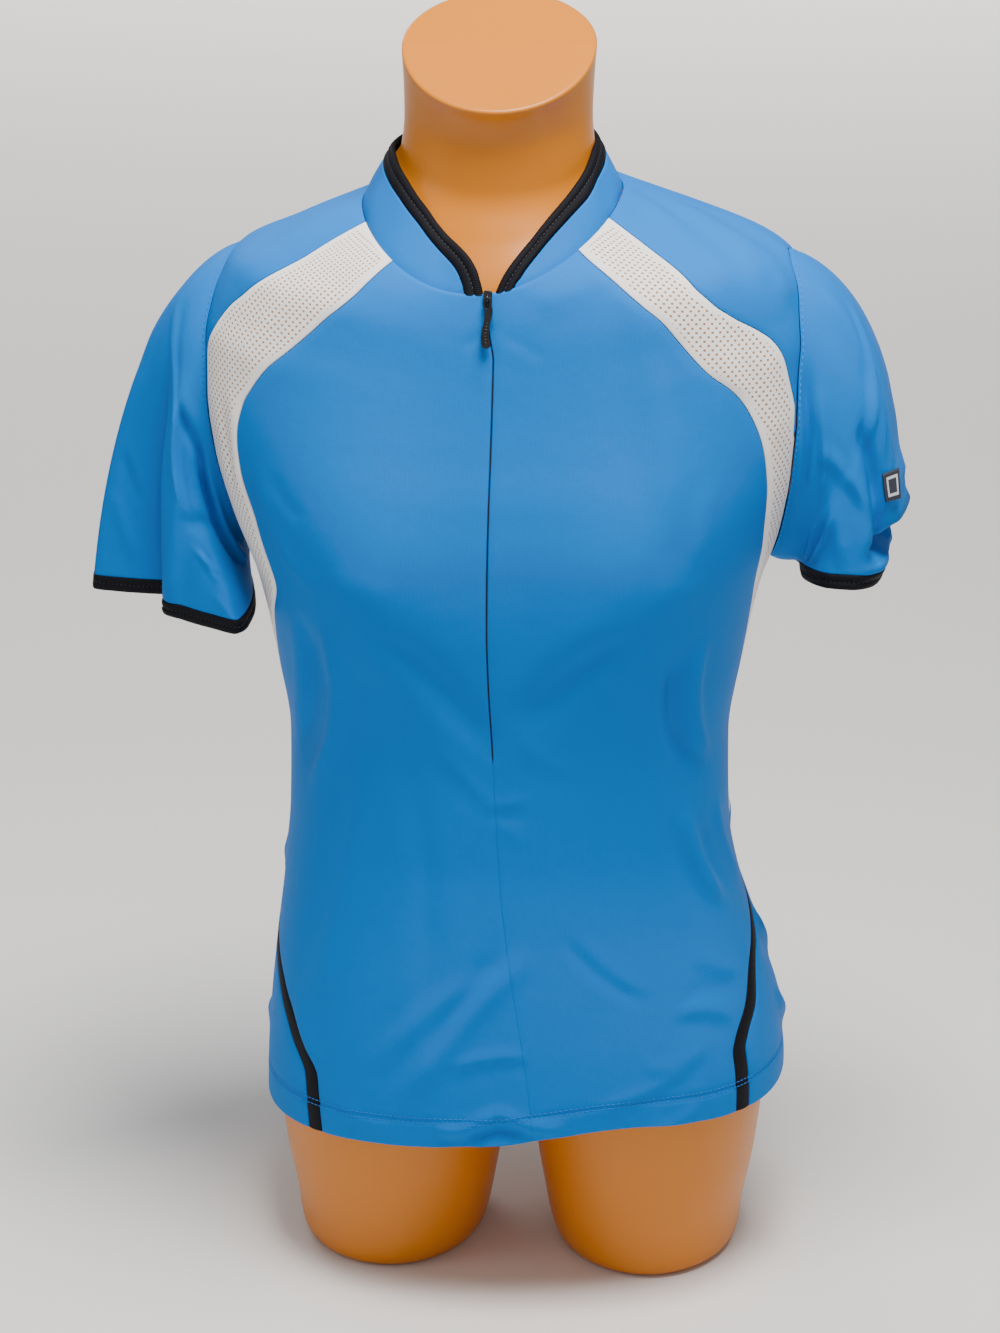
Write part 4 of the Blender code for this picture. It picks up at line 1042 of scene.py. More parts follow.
def shell(name, outer, inner, uv, edge, flip=False, tube=False):
    """A thin closed shell between two grids of points. A tube's first and last columns lie together."""
    rows, columns = outer.shape[:2]
    count = rows * columns
    index = np.arange(count).reshape(rows, columns)
    parts = [
        grid_faces(rows, columns, 0, flip), grid_faces(rows, columns, count, not flip),
        rim_faces(index[0], count, flip), rim_faces(index[-1], count, not flip),
    ]
    if not tube:
        parts += [rim_faces(index[:, 0], count, not flip), rim_faces(index[:, -1], count, flip)]
    points = np.concatenate([outer.reshape(-1, 3), inner.reshape(-1, 3)])
    uv, edge = (np.tile(values.reshape(-1, 2), (2, 1)) for values in (uv, edge))
    return mesh_from(name, points, np.concatenate(parts), uv, edge)


def steps_between(length, step):
    """Distances from 0 to a length, close together at both ends, where the edges are rolled."""
    near = [d for d in EDGE_STEPS if d < length * EDGE_SHARE]
    count = max(int((length - 2 * near[-1]) / step), 2)
    middle = np.linspace(near[-1], length - near[-1], count + 1)
    return np.array(near[:-1] + list(middle) + [length - d for d in reversed(near[:-1])])


def cloth_sides(base, normals, lift, roll):
    """The outer and the inner points of a cloth that stands out by lift and is drawn in by roll."""
    outer = base + normals * (lift - roll)[..., None]
    inner = base + normals * (lift - WALL + roll)[..., None]
    return outer, inner


def panel_angles(side, levels, edges, across):
    """The angles of a panel's columns on each of its rows, between its near and its far seam."""
    ends = []
    for level in levels:
        twist = float(twist_at(level))
        near, far = (side * edge(side, level) + twist for edge in edges)
        gap = HALF_GAP if far > near else -HALF_GAP
        ends.append((near + gap / metres_per_degree(near, level), far - gap / metres_per_degree(far, level)))
    near, far = np.array(ends).T[..., None]
    return near + (far - near) * across


def panel(name, side, heights, edges, width, hem=False, seams=(1, 1)):
    """A panel's shell between two heights and two seams, with its seams rolled and its creases laid on.

    The two numbers of seams say how deep the near and the far edge are drawn in, from 0 to 1.
    """
    start, end = (level_at(height) for height in heights)
    rows = steps_between((end - start) * TRUNK_LENGTH, ROW_STEP)
    gap = 0.0 if hem else HALF_GAP
    levels = start + (gap + rows * (1 - (gap + HALF_GAP) / rows[-1])) / TRUNK_LENGTH
    across = steps_between(width, COLUMN_STEP) / width
    angle = panel_angles(side, levels, edges, across)
    level = np.broadcast_to(levels[:, None], angle.shape)
    base, normals = trunk_points(angle, level), trunk_normals(angle, level)
    widths = np.linalg.norm(np.diff(base, axis=1), axis=-1).sum(axis=1)[:, None]
    from_near, from_far = across * widths, (1 - across) * widths
    from_start = rows[:, None] * np.ones_like(angle)
    to_end = from_start[::-1]
    depth = np.where(from_near < from_far, seams[0], seams[1])
    if edges[0] is zip_edge:
        closed = CLOSED_SEAM + (1 - CLOSED_SEAM) * zip_open(level)
        depth = np.where(from_near < from_far, closed, depth)
    to_side, to_row = np.minimum(from_near, from_far), np.minimum(from_start, to_end)
    at_neckline = (to_end < from_start) & (heights[1] == TRUNK[-1].side_z)
    row_depth = np.where(at_neckline, NECKLINE_ROLL, 1.0)
    nearest = np.minimum(to_side, to_row)
    roll = rolled(nearest, WALL) * np.where(to_side <= to_row, depth, row_depth)
    side_dip = depth * np.exp(-(to_side / SEAM_DIP_WIDTH) ** 2)
    row_dip = np.exp(-((to_end if hem else to_row) / SEAM_DIP_WIDTH) ** 2)
    lift = trunk_creases(base) - SEAM_DIP * np.maximum(side_dip, row_dip)
    if hem:
        fold = 1 - ease((from_start - HEM_HEIGHT + HEM_STEP_BELOW) / HEM_STEP_WIDTH)
        lift += HEM_PROUD * fold - HEM_DIP * np.exp(-((from_start - HEM_HEIGHT) / HEM_DIP_WIDTH) ** 2)
    outer, inner = cloth_sides(base, normals, lift, roll)
    edge = np.stack([nearest, from_start], -1)
    return shell(name, outer, inner, knit_uv(angle, level), edge, flip=angle[0, -1] < angle[0, 0])


# ---- Sleeves

def armhole_points(side, turn):
    """The armhole's edge at the sleeve's own angle: 0 at its top, 90 in front, 180 below."""
    turn = np.asarray(turn, float) % 360
    up = np.abs(1 - turn / 180)
    bottom, top = level_at(ARMHOLE_BOTTOM), level_at(ARMHOLE_TOP)
    level = bottom + (top - bottom) * (1 - np.cos(np.pi * up)) / 2
    half = np.where(turn <= 180, -ARMHOLE_FRONT, ARMHOLE_BACK)
    angle = side * (ARMHOLE_CENTRE + half * np.sin(np.pi * up)) + twist_at(level)
    points, _ = on_trunk(angle, level, -SEAM_DIP * SOFT_SEAM)
    return points


def fold_out(side_name, turn, part):
    """How far the creases push the sleeve out."""
    out = 0.0
    for crease in SLEEVE_CREASES[side_name]:
        aside = turn_from((crease.turn_a + crease.turn_b) / 2, turn) * TURN_LENGTH
        reach = (crease.turn_b - crease.turn_a) / 2 * TURN_LENGTH
        a, b = (-reach, crease.part_a * PART_LENGTH), (reach, crease.part_b * PART_LENGTH)
        out = out + stroke(aside, part * PART_LENGTH, a, b, crease.half_width, crease.height, 0.0)
    return out


def cuff_points(side_name, turn):
    """Points of the cuff's lower edge."""
    ring = CUFF_RING[side_name]
    turns = column(ring, "turn").astype(float)
    wrapped = (turn - turns[0]) % 360 + turns[0]
    turns = np.concatenate([turns[-2:] - 360, turns, turns[:3] + 360])
    found = []
    for name in ("x", "y", "z"):
        values = column(ring, name)
        found.append(curve_through(turns, np.concatenate([values[-2:], values, values[:3]]), wrapped))
    return stack(*found)


def sleeve_points(side_name, turn, part):
    """Points of a sleeve's outer surface, by its own angle and the part of the way to the cuff's edge."""
    side = SIDES[side_name]
    turn, part = np.broadcast_arrays(np.asarray(turn, float), np.asarray(part, float))
    outward, forward = np.cos(np.radians(turn)), np.sin(np.radians(turn))
    under = (1 - outward) / 2
    zero = np.zeros_like(turn)
    start = armhole_points(side, turn) + stack(side * (SLEEVE_GAP + UNDERARM_GAP * under), zero, zero)
    end = cuff_points(side_name, turn)
    leave = stack(side * LEAVE_OUT + zero, LEAVE_FORWARD * forward, LEAVE_DOWN + LEAVE_DOWN_UNDER * under)
    puffed = ARRIVE_IN[side_name] * np.maximum(outward, 0)
    arrive = stack(side * (ARRIVE_OUT * outward - puffed), ARRIVE_FORWARD * forward, zero - 1.0)
    first = start + leave * (LEAVE_REACH - LEAVE_REACH_LOST_UNDER * under)[..., None]
    last = end - arrive * (ARRIVE_REACH - ARRIVE_REACH_LOST_UNDER * under)[..., None]
    p = part[..., None]
    curve = (1 - p) ** 3 * start + 3 * (1 - p) ** 2 * p * first + 3 * (1 - p) * p ** 2 * last + p ** 3 * end
    return curve + stack(side * outward, -forward, zero) * fold_out(side_name, turn, part)[..., None]


def sleeve_normals(side_name, turn, part):
    """Directions out of a sleeve."""
    low, high = np.maximum(part - PART_STEP, 0), np.minimum(part + PART_STEP, 1)
    round_it = sleeve_points(side_name, turn + 1.0, part) - sleeve_points(side_name, turn - 1.0, part)
    down_it = sleeve_points(side_name, turn, high) - sleeve_points(side_name, turn, low)
    return unit(np.cross(round_it, down_it)) * SIDES[side_name]


def on_sleeve(side_name, turn, part, out=0.0):
    """Points a length out of a sleeve, and the directions out of it there."""
    normals = sleeve_normals(side_name, turn, part)
    return sleeve_points(side_name, turn, part) + normals * out, normals


def parts_at(side_name, turns, from_cuff):
    """The part of each line down the sleeve that is this far from the cuff's edge, and the lines' lengths."""
    samples = np.linspace(1, 0.0, PART_SAMPLES)
    lines = sleeve_points(side_name, turns[None, :], samples[:, None])
    travelled = lengths_along(lines, 0)
    return np.array([np.interp(from_cuff, way, samples) for way in travelled.T]), travelled[-1]


def make_sleeve(side_name, finish):
    """A sleeve, a tube from the armhole to its cuff's binding."""
    end, lengths = parts_at(side_name, SLEEVE_TURNS, CUFF_BINDING + CUFF_GAP)
    rows = steps_between(float(np.mean(lengths)) - CUFF_BINDING - CUFF_GAP, SLEEVE_ROW_STEP)
    part = end * (rows / rows[-1])[:, None]
    turn = np.broadcast_to(SLEEVE_TURNS, part.shape)
    base, normals = on_sleeve(side_name, turn, part)
    from_top = rows[:, None] * np.ones_like(part)
    to_cuff = from_top[::-1]
    nearest = np.minimum(from_top, to_cuff)
    lift = -SLEEVE_SEAM_DIP * np.exp(-((from_top - SEAM_DIP_WIDTH) / SEAM_DIP_WIDTH) ** 2)
    roll = rolled(nearest, WALL) * np.where(from_top < to_cuff, SLEEVE_SEAM_ROLL, 1.0)
    outer, inner = cloth_sides(base, normals, lift, roll)
    uv = np.stack([turn * TURN_LENGTH, -from_top], -1)
    edge = np.stack([nearest, from_top], -1)
    name = f"cloth_sleeve_{side_name}"
    mesh = shell(name, outer, inner, uv, edge, flip=side_name == "left", tube=True)
    return link(name, mesh, finish, f"sleeve_{side_name}", "blue_jersey")


# ---- Bindings: a folded tape with a groove where it is sewn down

def binding_section(width, wall):
    """The outline of a binding's cross-section, from its outer lower edge over the top fold and down inside.

    Its points are listed as a length up the band and a number of walls out of it, and returned in metres.
    """
    outer = [
        (0.0000, -0.45), (0.0002, -0.15), (0.0007, 0.06), (0.0016, 0.16), (0.0028, 0.19), (0.0038, 0.14),
    ]
    groove = [(-0.0009, 0.10), (-0.0004, -0.02), (0.0, -0.08), (0.0004, -0.02), (0.0009, 0.10)]
    top = [(width * 0.66, 0.18), (width * 0.80, 0.14), (width * 0.90, 0.02)]
    fold = [(width - 0.0004 * k, -0.14 - 0.30 * i) for i, k in enumerate((1.0, 0.2, 0.2, 1.0))]
    inner = [(width * 0.80, -1.08), (width * 0.5, -1.02), (0.0010, -1.02), (0.0000, -0.86)]
    points = outer + [(width * BINDING_SEAM + up, out) for up, out in groove] + top + fold + inner
    return [(up, out * wall) for up, out in points]


def band_mesh(name, base_at, section, closed_round, flip):
    """Sweeps a cross-section along a band. base_at gives the band's points and normals at a height up it."""
    rings = []
    for up, out in section:
        points, normals = base_at(up)
        rings.append(points + normals * out)
    grid = np.array(rings)
    rows, columns = grid.shape[:2]
    along = running(np.linalg.norm(np.diff(grid[BINDING_LENGTH_ROW], axis=0), axis=-1))
    heights = np.array([up for up, _ in section])[:, None]
    uv = np.stack(np.broadcast_arrays(along, heights), -1).reshape(-1, 2)
    index = np.arange(rows * columns).reshape(rows, columns)
    loop = np.concatenate([index, index[:1]])
    quads = []
    for c in range(columns - 1):
        for r in range(rows):
            face = [loop[r, c], loop[r, c + 1], loop[r + 1, c + 1], loop[r + 1, c]]
            quads.append(face[::-1] if flip else face)
    if not closed_round:
        quads.append(list(index[:, 0] if flip else index[::-1, 0]))
        quads.append(list(index[::-1, -1] if flip else index[:, -1]))
    return mesh_from(name, grid.reshape(-1, 3), quads, uv, uv)


def make_cuff_binding(side_name, finish):
    """The binding that is folded over a cuff's edge."""
    def base_at(up):
        """Points and normals at a height up the band."""
        part, _ = parts_at(side_name, SLEEVE_TURNS, CUFF_BINDING - up)
        return on_sleeve(side_name, SLEEVE_TURNS, part)

    name = f"binding_cuff_{side_name}"
    mesh = band_mesh(name, base_at, binding_section(CUFF_BINDING, BINDING_WALL), True, side_name == "right")
    return link(name, mesh, finish, f"cuff_binding_{side_name}", "black_binding")


# ---- Collar

def collar_frame(angle):
    """The direction up the collar at an angle: it leans in towards the neck."""
    lean = np.radians(reading(COLLAR_LEAN, "angle", "lean", np.abs(turn_from(0, angle))))
    inward = stack(-np.sin(np.radians(angle)), np.cos(np.radians(angle)), np.zeros_like(angle))
    up = np.array([0.0, 0.0, 1.0])
    return inward * np.sin(lean)[..., None] + up * np.cos(lean)[..., None]


def collar_points(angle, rise):
    """Points of the collar's outer surface, a length up from the neckline.

    Its foot follows the trunk's creases, and higher up it has soft folds of its own.
    """
    neckline = np.ones_like(angle)
    base = trunk_points(angle, neckline)
    part = np.clip(rise / COLLAR_FULL, 0, 1)
    pushed = trunk_creases(base) * (1 - part)
    base = base + trunk_normals(angle, neckline) * pushed[..., None]
    out = np.zeros_like(angle)
    for fold in COLLAR_FOLDS:
        aside = turn_from(fold.angle, angle) / fold.spread
        out = out + fold.height * np.exp(-aside * aside)
    outward = stack(np.sin(np.radians(angle)), -np.cos(np.radians(angle)), np.zeros_like(angle))
    bulge = (out * np.sin(np.pi * part))[..., None]
    foot = base + np.array([0, 0, COLLAR_GAP])
    return foot + collar_frame(angle) * np.asarray(rise)[..., None] + outward * bulge


def collar_normals(angle, rise):
    """Directions out of the collar."""
    round_it = collar_points(angle + 0.5, rise) - collar_points(angle - 0.5, rise)
    return unit(np.cross(round_it, collar_frame(angle)))


def on_collar(angle, rise, out=0.0):
    """Points a length out of the collar, and the directions out of it there."""
    normals = collar_normals(angle, rise)
    return collar_points(angle, rise) + normals * out, normals


# Lengths along the neckline from the front centre
ARC_ANGLES = np.linspace(0, 180, 721)
ARCS = {
    side_name: lengths_along(trunk_points(side * ARC_ANGLES, np.ones_like(ARC_ANGLES))[None], 1)[0]
    for side_name, side in SIDES.items()
}


def collar_angle(side_name, arc):
    """The angle, from 0 in front over +X to 360, of a place along the neckline."""
    angle = np.interp(arc, ARCS[side_name], ARC_ANGLES)
    return angle if side_name == "right" else 360 - angle


def opening_edge(side_name, count):
    """The opening's edge from front to back: places (arc, rise) and the way into the collar's cloth."""
    edge = COLLAR_EDGE[side_name]
    arcs, rises = column(edge, "arc"), column(edge, "rise")
    travelled = running(np.hypot(np.diff(arcs), np.diff(rises)))
    at = travelled[-1] * np.linspace(0, 1, count) ** OPENING_CROWDING
    place = np.stack([curve_through(travelled, arcs, at), curve_through(travelled, rises, at)], -1)
    along = np.gradient(place, axis=0)
    into = unit(np.stack([along[:, 1], -along[:, 0]], -1))
    turned = ease(at / COLLAR_END_TURN)[:, None]
    return place, unit(np.array([1.0, 0.0]) * (1 - turned) + into * turned)


def binding_line(depth):
    """Angles and rises of a line that runs in the collar a length inside its opening edge, all round."""
    found = []
    for side_name in ("right", "left"):
        place, into = opening_edge(side_name, BINDING_COLUMNS)
        line = place + into * depth
        angle, rise = collar_angle(side_name, line[:, 0]), np.maximum(line[:, 1], 0)
        found.append((angle, rise) if side_name == "right" else (angle[-2::-1], rise[-2::-1]))
    return tuple(np.concatenate(pair) for pair in zip(*found))


def make_collar(finish):
    """The stand collar, up to the binding along its opening edge."""
    low_angle, low_rise = binding_line(COLLAR_BINDING + SEAM_GAP)
    angles = np.linspace(low_angle[0] + COLLAR_SIDE_GAP, low_angle[-1] - COLLAR_SIDE_GAP, COLLAR_COLUMNS)
    order = np.argsort(low_angle)
    band = np.maximum(np.interp(angles, low_angle[order], low_rise[order]), COLLAR_LEAST)
    rows = steps_between(float(np.median(band)), COLLAR_ROW_STEP)
    rise = band * (rows / rows[-1])[:, None]
    grid = np.broadcast_to(angles, rise.shape)
    base, normals = on_collar(grid, rise)
    nearest = np.minimum(rise, band - rise)
    roll = rolled(nearest, WALL) * np.where(rise < band - rise, COLLAR_BASE_ROLL, 1.0)
    lift = -SEAM_DIP * np.exp(-(rise / SEAM_DIP_WIDTH) ** 2) - roll
    outer = base + normals * lift[..., None]
    inner = base + normals * (roll - WALL)[..., None]
    uv = np.stack([lengths_along(base, 1), rise], -1)
    mesh = shell("cloth_collar", outer, inner, uv, np.stack([nearest, rise], -1))
    return link("cloth_collar", mesh, finish, "collar", "blue_jersey")


def make_collar_binding(finish):
    """The binding along the collar's opening edge."""
    def base_at(up):
        """Points and normals at a height up the band."""
        return on_collar(*binding_line(COLLAR_BINDING - up))

    mesh = band_mesh("binding_collar", base_at, binding_section(COLLAR_BINDING, BINDING_WALL), False, False)
    return link("binding_collar", mesh, finish, "collar_binding", "black_binding")


# ---- Stitches

def stitches(name, points, normals, kind, finish, slot):
    """A run of short rounded threads along a line on the cloth."""
    travelled = running(np.linalg.norm(np.diff(points, axis=0), axis=-1))

    def read(values, at):
        """Values at a way along the line."""
        return np.array([np.interp(at, travelled, line) for line in values.T])

    pitch = kind.length + kind.gap
    verts, faces = [], []
    for n in range(int(travelled[-1] / pitch)):
        centre = (n + 0.5) * pitch
        here, out = read(points, centre), unit(read(normals, centre))
        along = unit(read(points, centre + kind.length / 2) - here)
        aside = np.cross(along, out)
        faces += tube_faces(len(verts), len(STITCH_RINGS), len(STITCH_TURNS))
        for part, size in STITCH_RINGS:
            sink = out * (STITCH_SINK - kind.half * STITCH_END_SINK * abs(2 * part) ** 3)
            for turn in STITCH_TURNS:
                ring = (aside * math.cos(turn) * STITCH_FLAT + out * math.sin(turn)) * kind.half * size
                verts.append(here + along * part * kind.length + ring + sink)
    return link(name, mesh_from(name, np.array(verts), faces), finish, None, slot)


# ---- Dress form

def form_points(angle, level):
    """Points of the form, as far inside the cloth as its clearance there."""
    height = side_height(level)
    around = reading(CLEARANCE, "side_z", "all_round", height)
    centre = reading(CLEARANCE, "side_z", "front_centre", height)
    aside = turn_from(0, angle) / FRONT_CENTRE_SPREAD
    depth = WALL + around + (centre + FRONT_CENTRE_EXTRA - around) * np.exp(-aside * aside)
    return trunk_points(angle, level) - depth[..., None] * trunk_normals(angle, level)


def capped(name, rows):
    """A closed loft through rings of points, whose ends close in rings round their middles."""
    first, last = (
        [end.mean(axis=0) + (end - end.mean(axis=0)) * share for share in CAP_SHARES]
        for end in (rows[0], rows[-1])
    )
    grid = np.array(first[::-1] + list(rows) + last)
    count, columns = grid.shape[:2]
    index = np.arange(count * columns).reshape(count, columns)
    closed = np.concatenate([index, index[:, :1]], axis=1)
    quads = np.stack([closed[:-1, :-1], closed[:-1, 1:], closed[1:, 1:], closed[1:, :-1]], -1).reshape(-1, 4)
    faces = list(quads) + [index[0][::-1], index[-1]]
    return mesh_from(name, grid.reshape(-1, 3), faces)


def neck_rows(rows, angles):
    """Rings up the neck block, on from the trunk's last ones."""
    knots = [rows[-6], rows[-1]] + [ring_points(angles, ring, plane=True) for ring in NECK]
    knots = np.array(knots)
    places = running(np.linalg.norm(np.diff(knots, axis=0), axis=-1).mean(axis=1))
    wanted = np.linspace(places[1], places[-1], NECK_ROWS)[1:]
    neck = np.empty((len(wanted), FORM_COLUMNS, 3))
    for i, axis in np.ndindex(FORM_COLUMNS, 3):
        neck[:, i, axis] = curve_through(places, knots[:, i, axis], wanted)
    return list(neck)


def rim_rows(rim):
    """Rings that round the neck block's upper edge."""
    middle = rim.mean(axis=0)
    inward = unit(middle - rim)
    axis = unit(np.cross(rim[FORM_COLUMNS // 4] - middle, rim[FORM_COLUMNS // 2] - middle))
    axis = axis if axis[2] > 0 else -axis
    return [
        rim + CAP_ROUND * ((1 - np.cos(turn)) * inward + CAP_RISE * np.sin(turn) * axis)
        for turn in np.radians(CAP_TURNS)
    ]


def crotch_rows(first):
    """Rings that close in below the trunk's first one."""
    lowest = first * np.array([CROTCH_SHRINK, CROTCH_SHRINK, 0]) + np.array([0, 0, CROTCH_Z])
    away = first - lowest
    flat = np.array([1, 1, 0])
    return [lowest + away * ease(t) * flat + away * np.array([0, 0, t]) for t in CROTCH_STEPS]


def make_form(finish):
    """The display form: trunk, neck block and two thigh stumps in one closed mesh."""
    angles = np.linspace(0, 360, FORM_COLUMNS, endpoint=False)
    levels = np.linspace(level_at(CROTCH_Z + CROTCH_CURVE), 1, FORM_ROWS)
    rows = [form_points(angles, np.full(FORM_COLUMNS, level)) for level in levels]
    rows += neck_rows(rows, angles)
    rows = crotch_rows(rows[0]) + rows + rim_rows(rows[-1])
    form = link("form_shell", capped("form_shell", rows), finish, "dress_form", "tan_plastic")
    helpers = []
    for side in (-1, 1):
        stump = bpy.data.objects.new("stump_helper", stump_mesh(side))
        bpy.context.scene.collection.objects.link(stump)
        union = form.modifiers.new("join", "BOOLEAN")
        union.operation = "UNION"
        union.object = stump
        helpers.append(stump)
    bpy.context.view_layer.update()
    graph = bpy.context.evaluated_depsgraph_get()
    joined = bpy.data.meshes.new_from_object(form.evaluated_get(graph))
    form.modifiers.clear()
    form.data = joined
    for helper in helpers:
        bpy.data.objects.remove(helper, do_unlink=True)
    return form


def stump_mesh(side):
    """A thigh stump, with a rounded edge at its flat end."""
    turns = full_circle(STUMP_COLUMNS)
    rows = []
    for z in STUMP_HEIGHTS:
        x, half_width, half_depth = (reading(STUMP, "z", name, z) for name in Stump._fields[1:])
        across = side * x + STUMP_SHIFT + half_width * np.sin(turns)
        rows.append(stack(across, -half_depth * np.cos(turns), np.full(STUMP_COLUMNS, z)))
    return capped("stump", rows)


# ---- Zip

def make_zip_tape(finish):
    """The zip's tape, flat behind the two fronts."""
    levels = np.linspace(level_at(ZIP_BOTTOM - ZIP_TAPE_BELOW), ZIP_TAPE_TOP_LEVEL, ZIP_TAPE_ROWS)
    angles = np.linspace(-ZIP_TAPE_HALF, ZIP_TAPE_HALF, ZIP_TAPE_COLUMNS)
    angle, level = np.meshgrid(angles, levels)
    outer, normals = on_trunk(angle, level, -ZIP_TAPE_BEHIND)
    inner = outer - ZIP_TAPE_WALL * normals
    uv = knit_uv(angle, level)
    return link("tape_zip", shell("tape_zip", outer, inner, uv, uv), finish, "zip_tape", "black_zip")


def make_zip_coil(finish):
    """The turns of the zip's coil, seen only in the gap between the fronts."""
    start = level_at(ZIP_BOTTOM)
    count = int((COIL_TOP_LEVEL - start) * TRUNK_LENGTH / COIL_PITCH)
    corners = [(x, y, z) for x in (-1, 1) for y in (-1, 1) for z in (-1, 1)]
    quads = [(0, 1, 3, 2), (4, 6, 7, 5), (0, 4, 5, 1), (2, 3, 7, 6), (0, 2, 6, 4), (1, 5, 7, 3)]
    right = np.array([1.0, 0.0, 0.0])
    verts, faces = [], []
    for n in range(count):
        angle, level = np.array(0.0), np.array(start + (COIL_TOP_LEVEL - start) * (n + 0.5) / count)
        centre, normal = on_trunk(angle, level, COIL_OUT - ZIP_TAPE_BEHIND)
        axes = np.array([right, normal, unit(np.cross(right, -normal))]) * np.array(COIL_HALF)[:, None]
        verts += [centre + np.array(corner) @ axes for corner in corners]
        faces += [tuple(n * len(corners) + k for k in quad) for quad in quads]
    return link("zip_coil", mesh_from("zip_coil", np.array(verts), faces), finish, None, "black_zip")


def move_points(mesh, change):
    """Moves a mesh's points, by a function of the array of them."""
    points = np.zeros(len(mesh.vertices) * 3)
    mesh.vertices.foreach_get("co", points)
    mesh.vertices.foreach_set("co", change(points.reshape(-1, 3)).ravel())
    mesh.update()


def tab_mesh(name, outlines, wall, round_edge):
    """A flat tab from its outline and holes, as (x, up) in metres, that lies in the local X-Z plane."""
    curve = bpy.data.curves.new(name, "CURVE")
    curve.dimensions = "2D"
    curve.fill_mode = "BOTH"
    curve.bevel_depth = round_edge
    curve.bevel_resolution = 3
    curve.extrude = wall / 2 - round_edge
    curve.offset = -round_edge
    for outline in outlines:
        spline = curve.splines.new("POLY")
        spline.points.add(len(outline) - 1)
        for point, (x, y) in zip(spline.points, outline):
            point.co = (x, y, 0, 1)
        spline.use_cyclic_u = True
    flat = bpy.data.objects.new(name, curve)
    bpy.context.scene.collection.objects.link(flat)
    bpy.context.view_layer.update()
    mesh = bpy.data.meshes.new_from_object(flat.evaluated_get(bpy.context.evaluated_depsgraph_get()))
    bpy.data.objects.remove(flat, do_unlink=True)
    move_points(mesh, lambda points: points[:, [0, 2, 1]] * np.array([1, -1, 1]))
    mesh.shade_smooth()
    mesh.materials.clear()
    return mesh


def tilt(turn):
    """The rotation about X by an angle in radians."""
    return np.array([[1, 0, 0], [0, math.cos(turn), -math.sin(turn)], [0, math.sin(turn), math.cos(turn)]])


def put_mesh(mesh, turn, place):
    """Tilts a mesh and moves it to its place."""
    move_points(mesh, lambda points: points @ tilt(turn).T + np.array(place))


def pull_half_width(part):
    """Half the pull's width, a part of the way down it: narrower in its middle, and round at its ends."""
    taper = PULL_WAIST + (1 - PULL_WAIST) * abs(math.cos(math.pi * part))
    into_end = max(0.0, (part - PULL_END) / (1 - PULL_END))
    into_top = max(0.0, 1 - part / PULL_TOP)
    round_end = math.sqrt(max(0.0, 1 - into_end ** 2))
    round_top = math.sqrt(max(0.0, 1 - into_top ** 2 * PULL_TOP_ROUND))
    return PULL_WIDTH / 2 * taper * max(round_end, PULL_TIP) * round_top


def pull_sway(part):
    """How far the pull's S-curve leads it aside, a part of the way down it."""
    return PULL_SWAY * math.sin(2 * math.pi * part) * float(ease((part - PULL_STRAIGHT) / PULL_SWAY_START))


def make_pull(finish):
    """The moulded pull: a flat S-shaped tab with an eye and a rounded edge."""
    right, left = [], []
    for part in np.linspace(0, 1, PULL_STEPS):
        down = PULL_WALL / 2 - PULL_LENGTH * part
        right.append((pull_sway(part) + pull_half_width(part), down))
        left.append((pull_sway(part) - pull_half_width(part), down))
    eye_middle = -(PULL_WALL / 2 + PULL_EYE_LENGTH) / 2
    eye_half = (PULL_EYE_LENGTH - PULL_WALL / 2) / 2
    eye = [
        (PULL_EYE_WIDTH / 2 * math.cos(turn), eye_middle + eye_half * math.sin(turn))
        for turn in full_circle(PULL_EYE_STEPS)
    ]
    mesh = tab_mesh("pull_tab", (right + left[::-1], eye), PULL_WALL, PULL_EDGE)
    put_mesh(mesh, PULL_TURN, PULL_AXIS)
    return link("pull_tab", mesh, finish, "zip_pull", "black_zip", "zip_pull")


def make_grip(finish):
    """The round grip bars across the pull's lower part."""
    verts, faces = [], []
    for n in range(GRIP_BARS):
        down = GRIP_TOP - GRIP_STEP * n
        part = (PULL_WALL / 2 - down) / PULL_LENGTH
        half = pull_half_width(part) - GRIP_INSET
        faces += tube_faces(len(verts), 2, GRIP_SIDES)
        for x in (-half, half):
            for turn in full_circle(GRIP_SIDES):
                out, up = GRIP_HALF * math.sin(turn), GRIP_HALF * math.cos(turn)
                local = np.array([pull_sway(part) + x, -PULL_WALL / 2 + out, down + up])
                verts.append(tilt(PULL_TURN) @ local + np.array(PULL_AXIS) - OFFSET)
    mesh = mesh_from("pull_grip", np.array(verts), faces)
    return link("pull_grip", mesh, finish, None, "black_zip", "zip_pull")


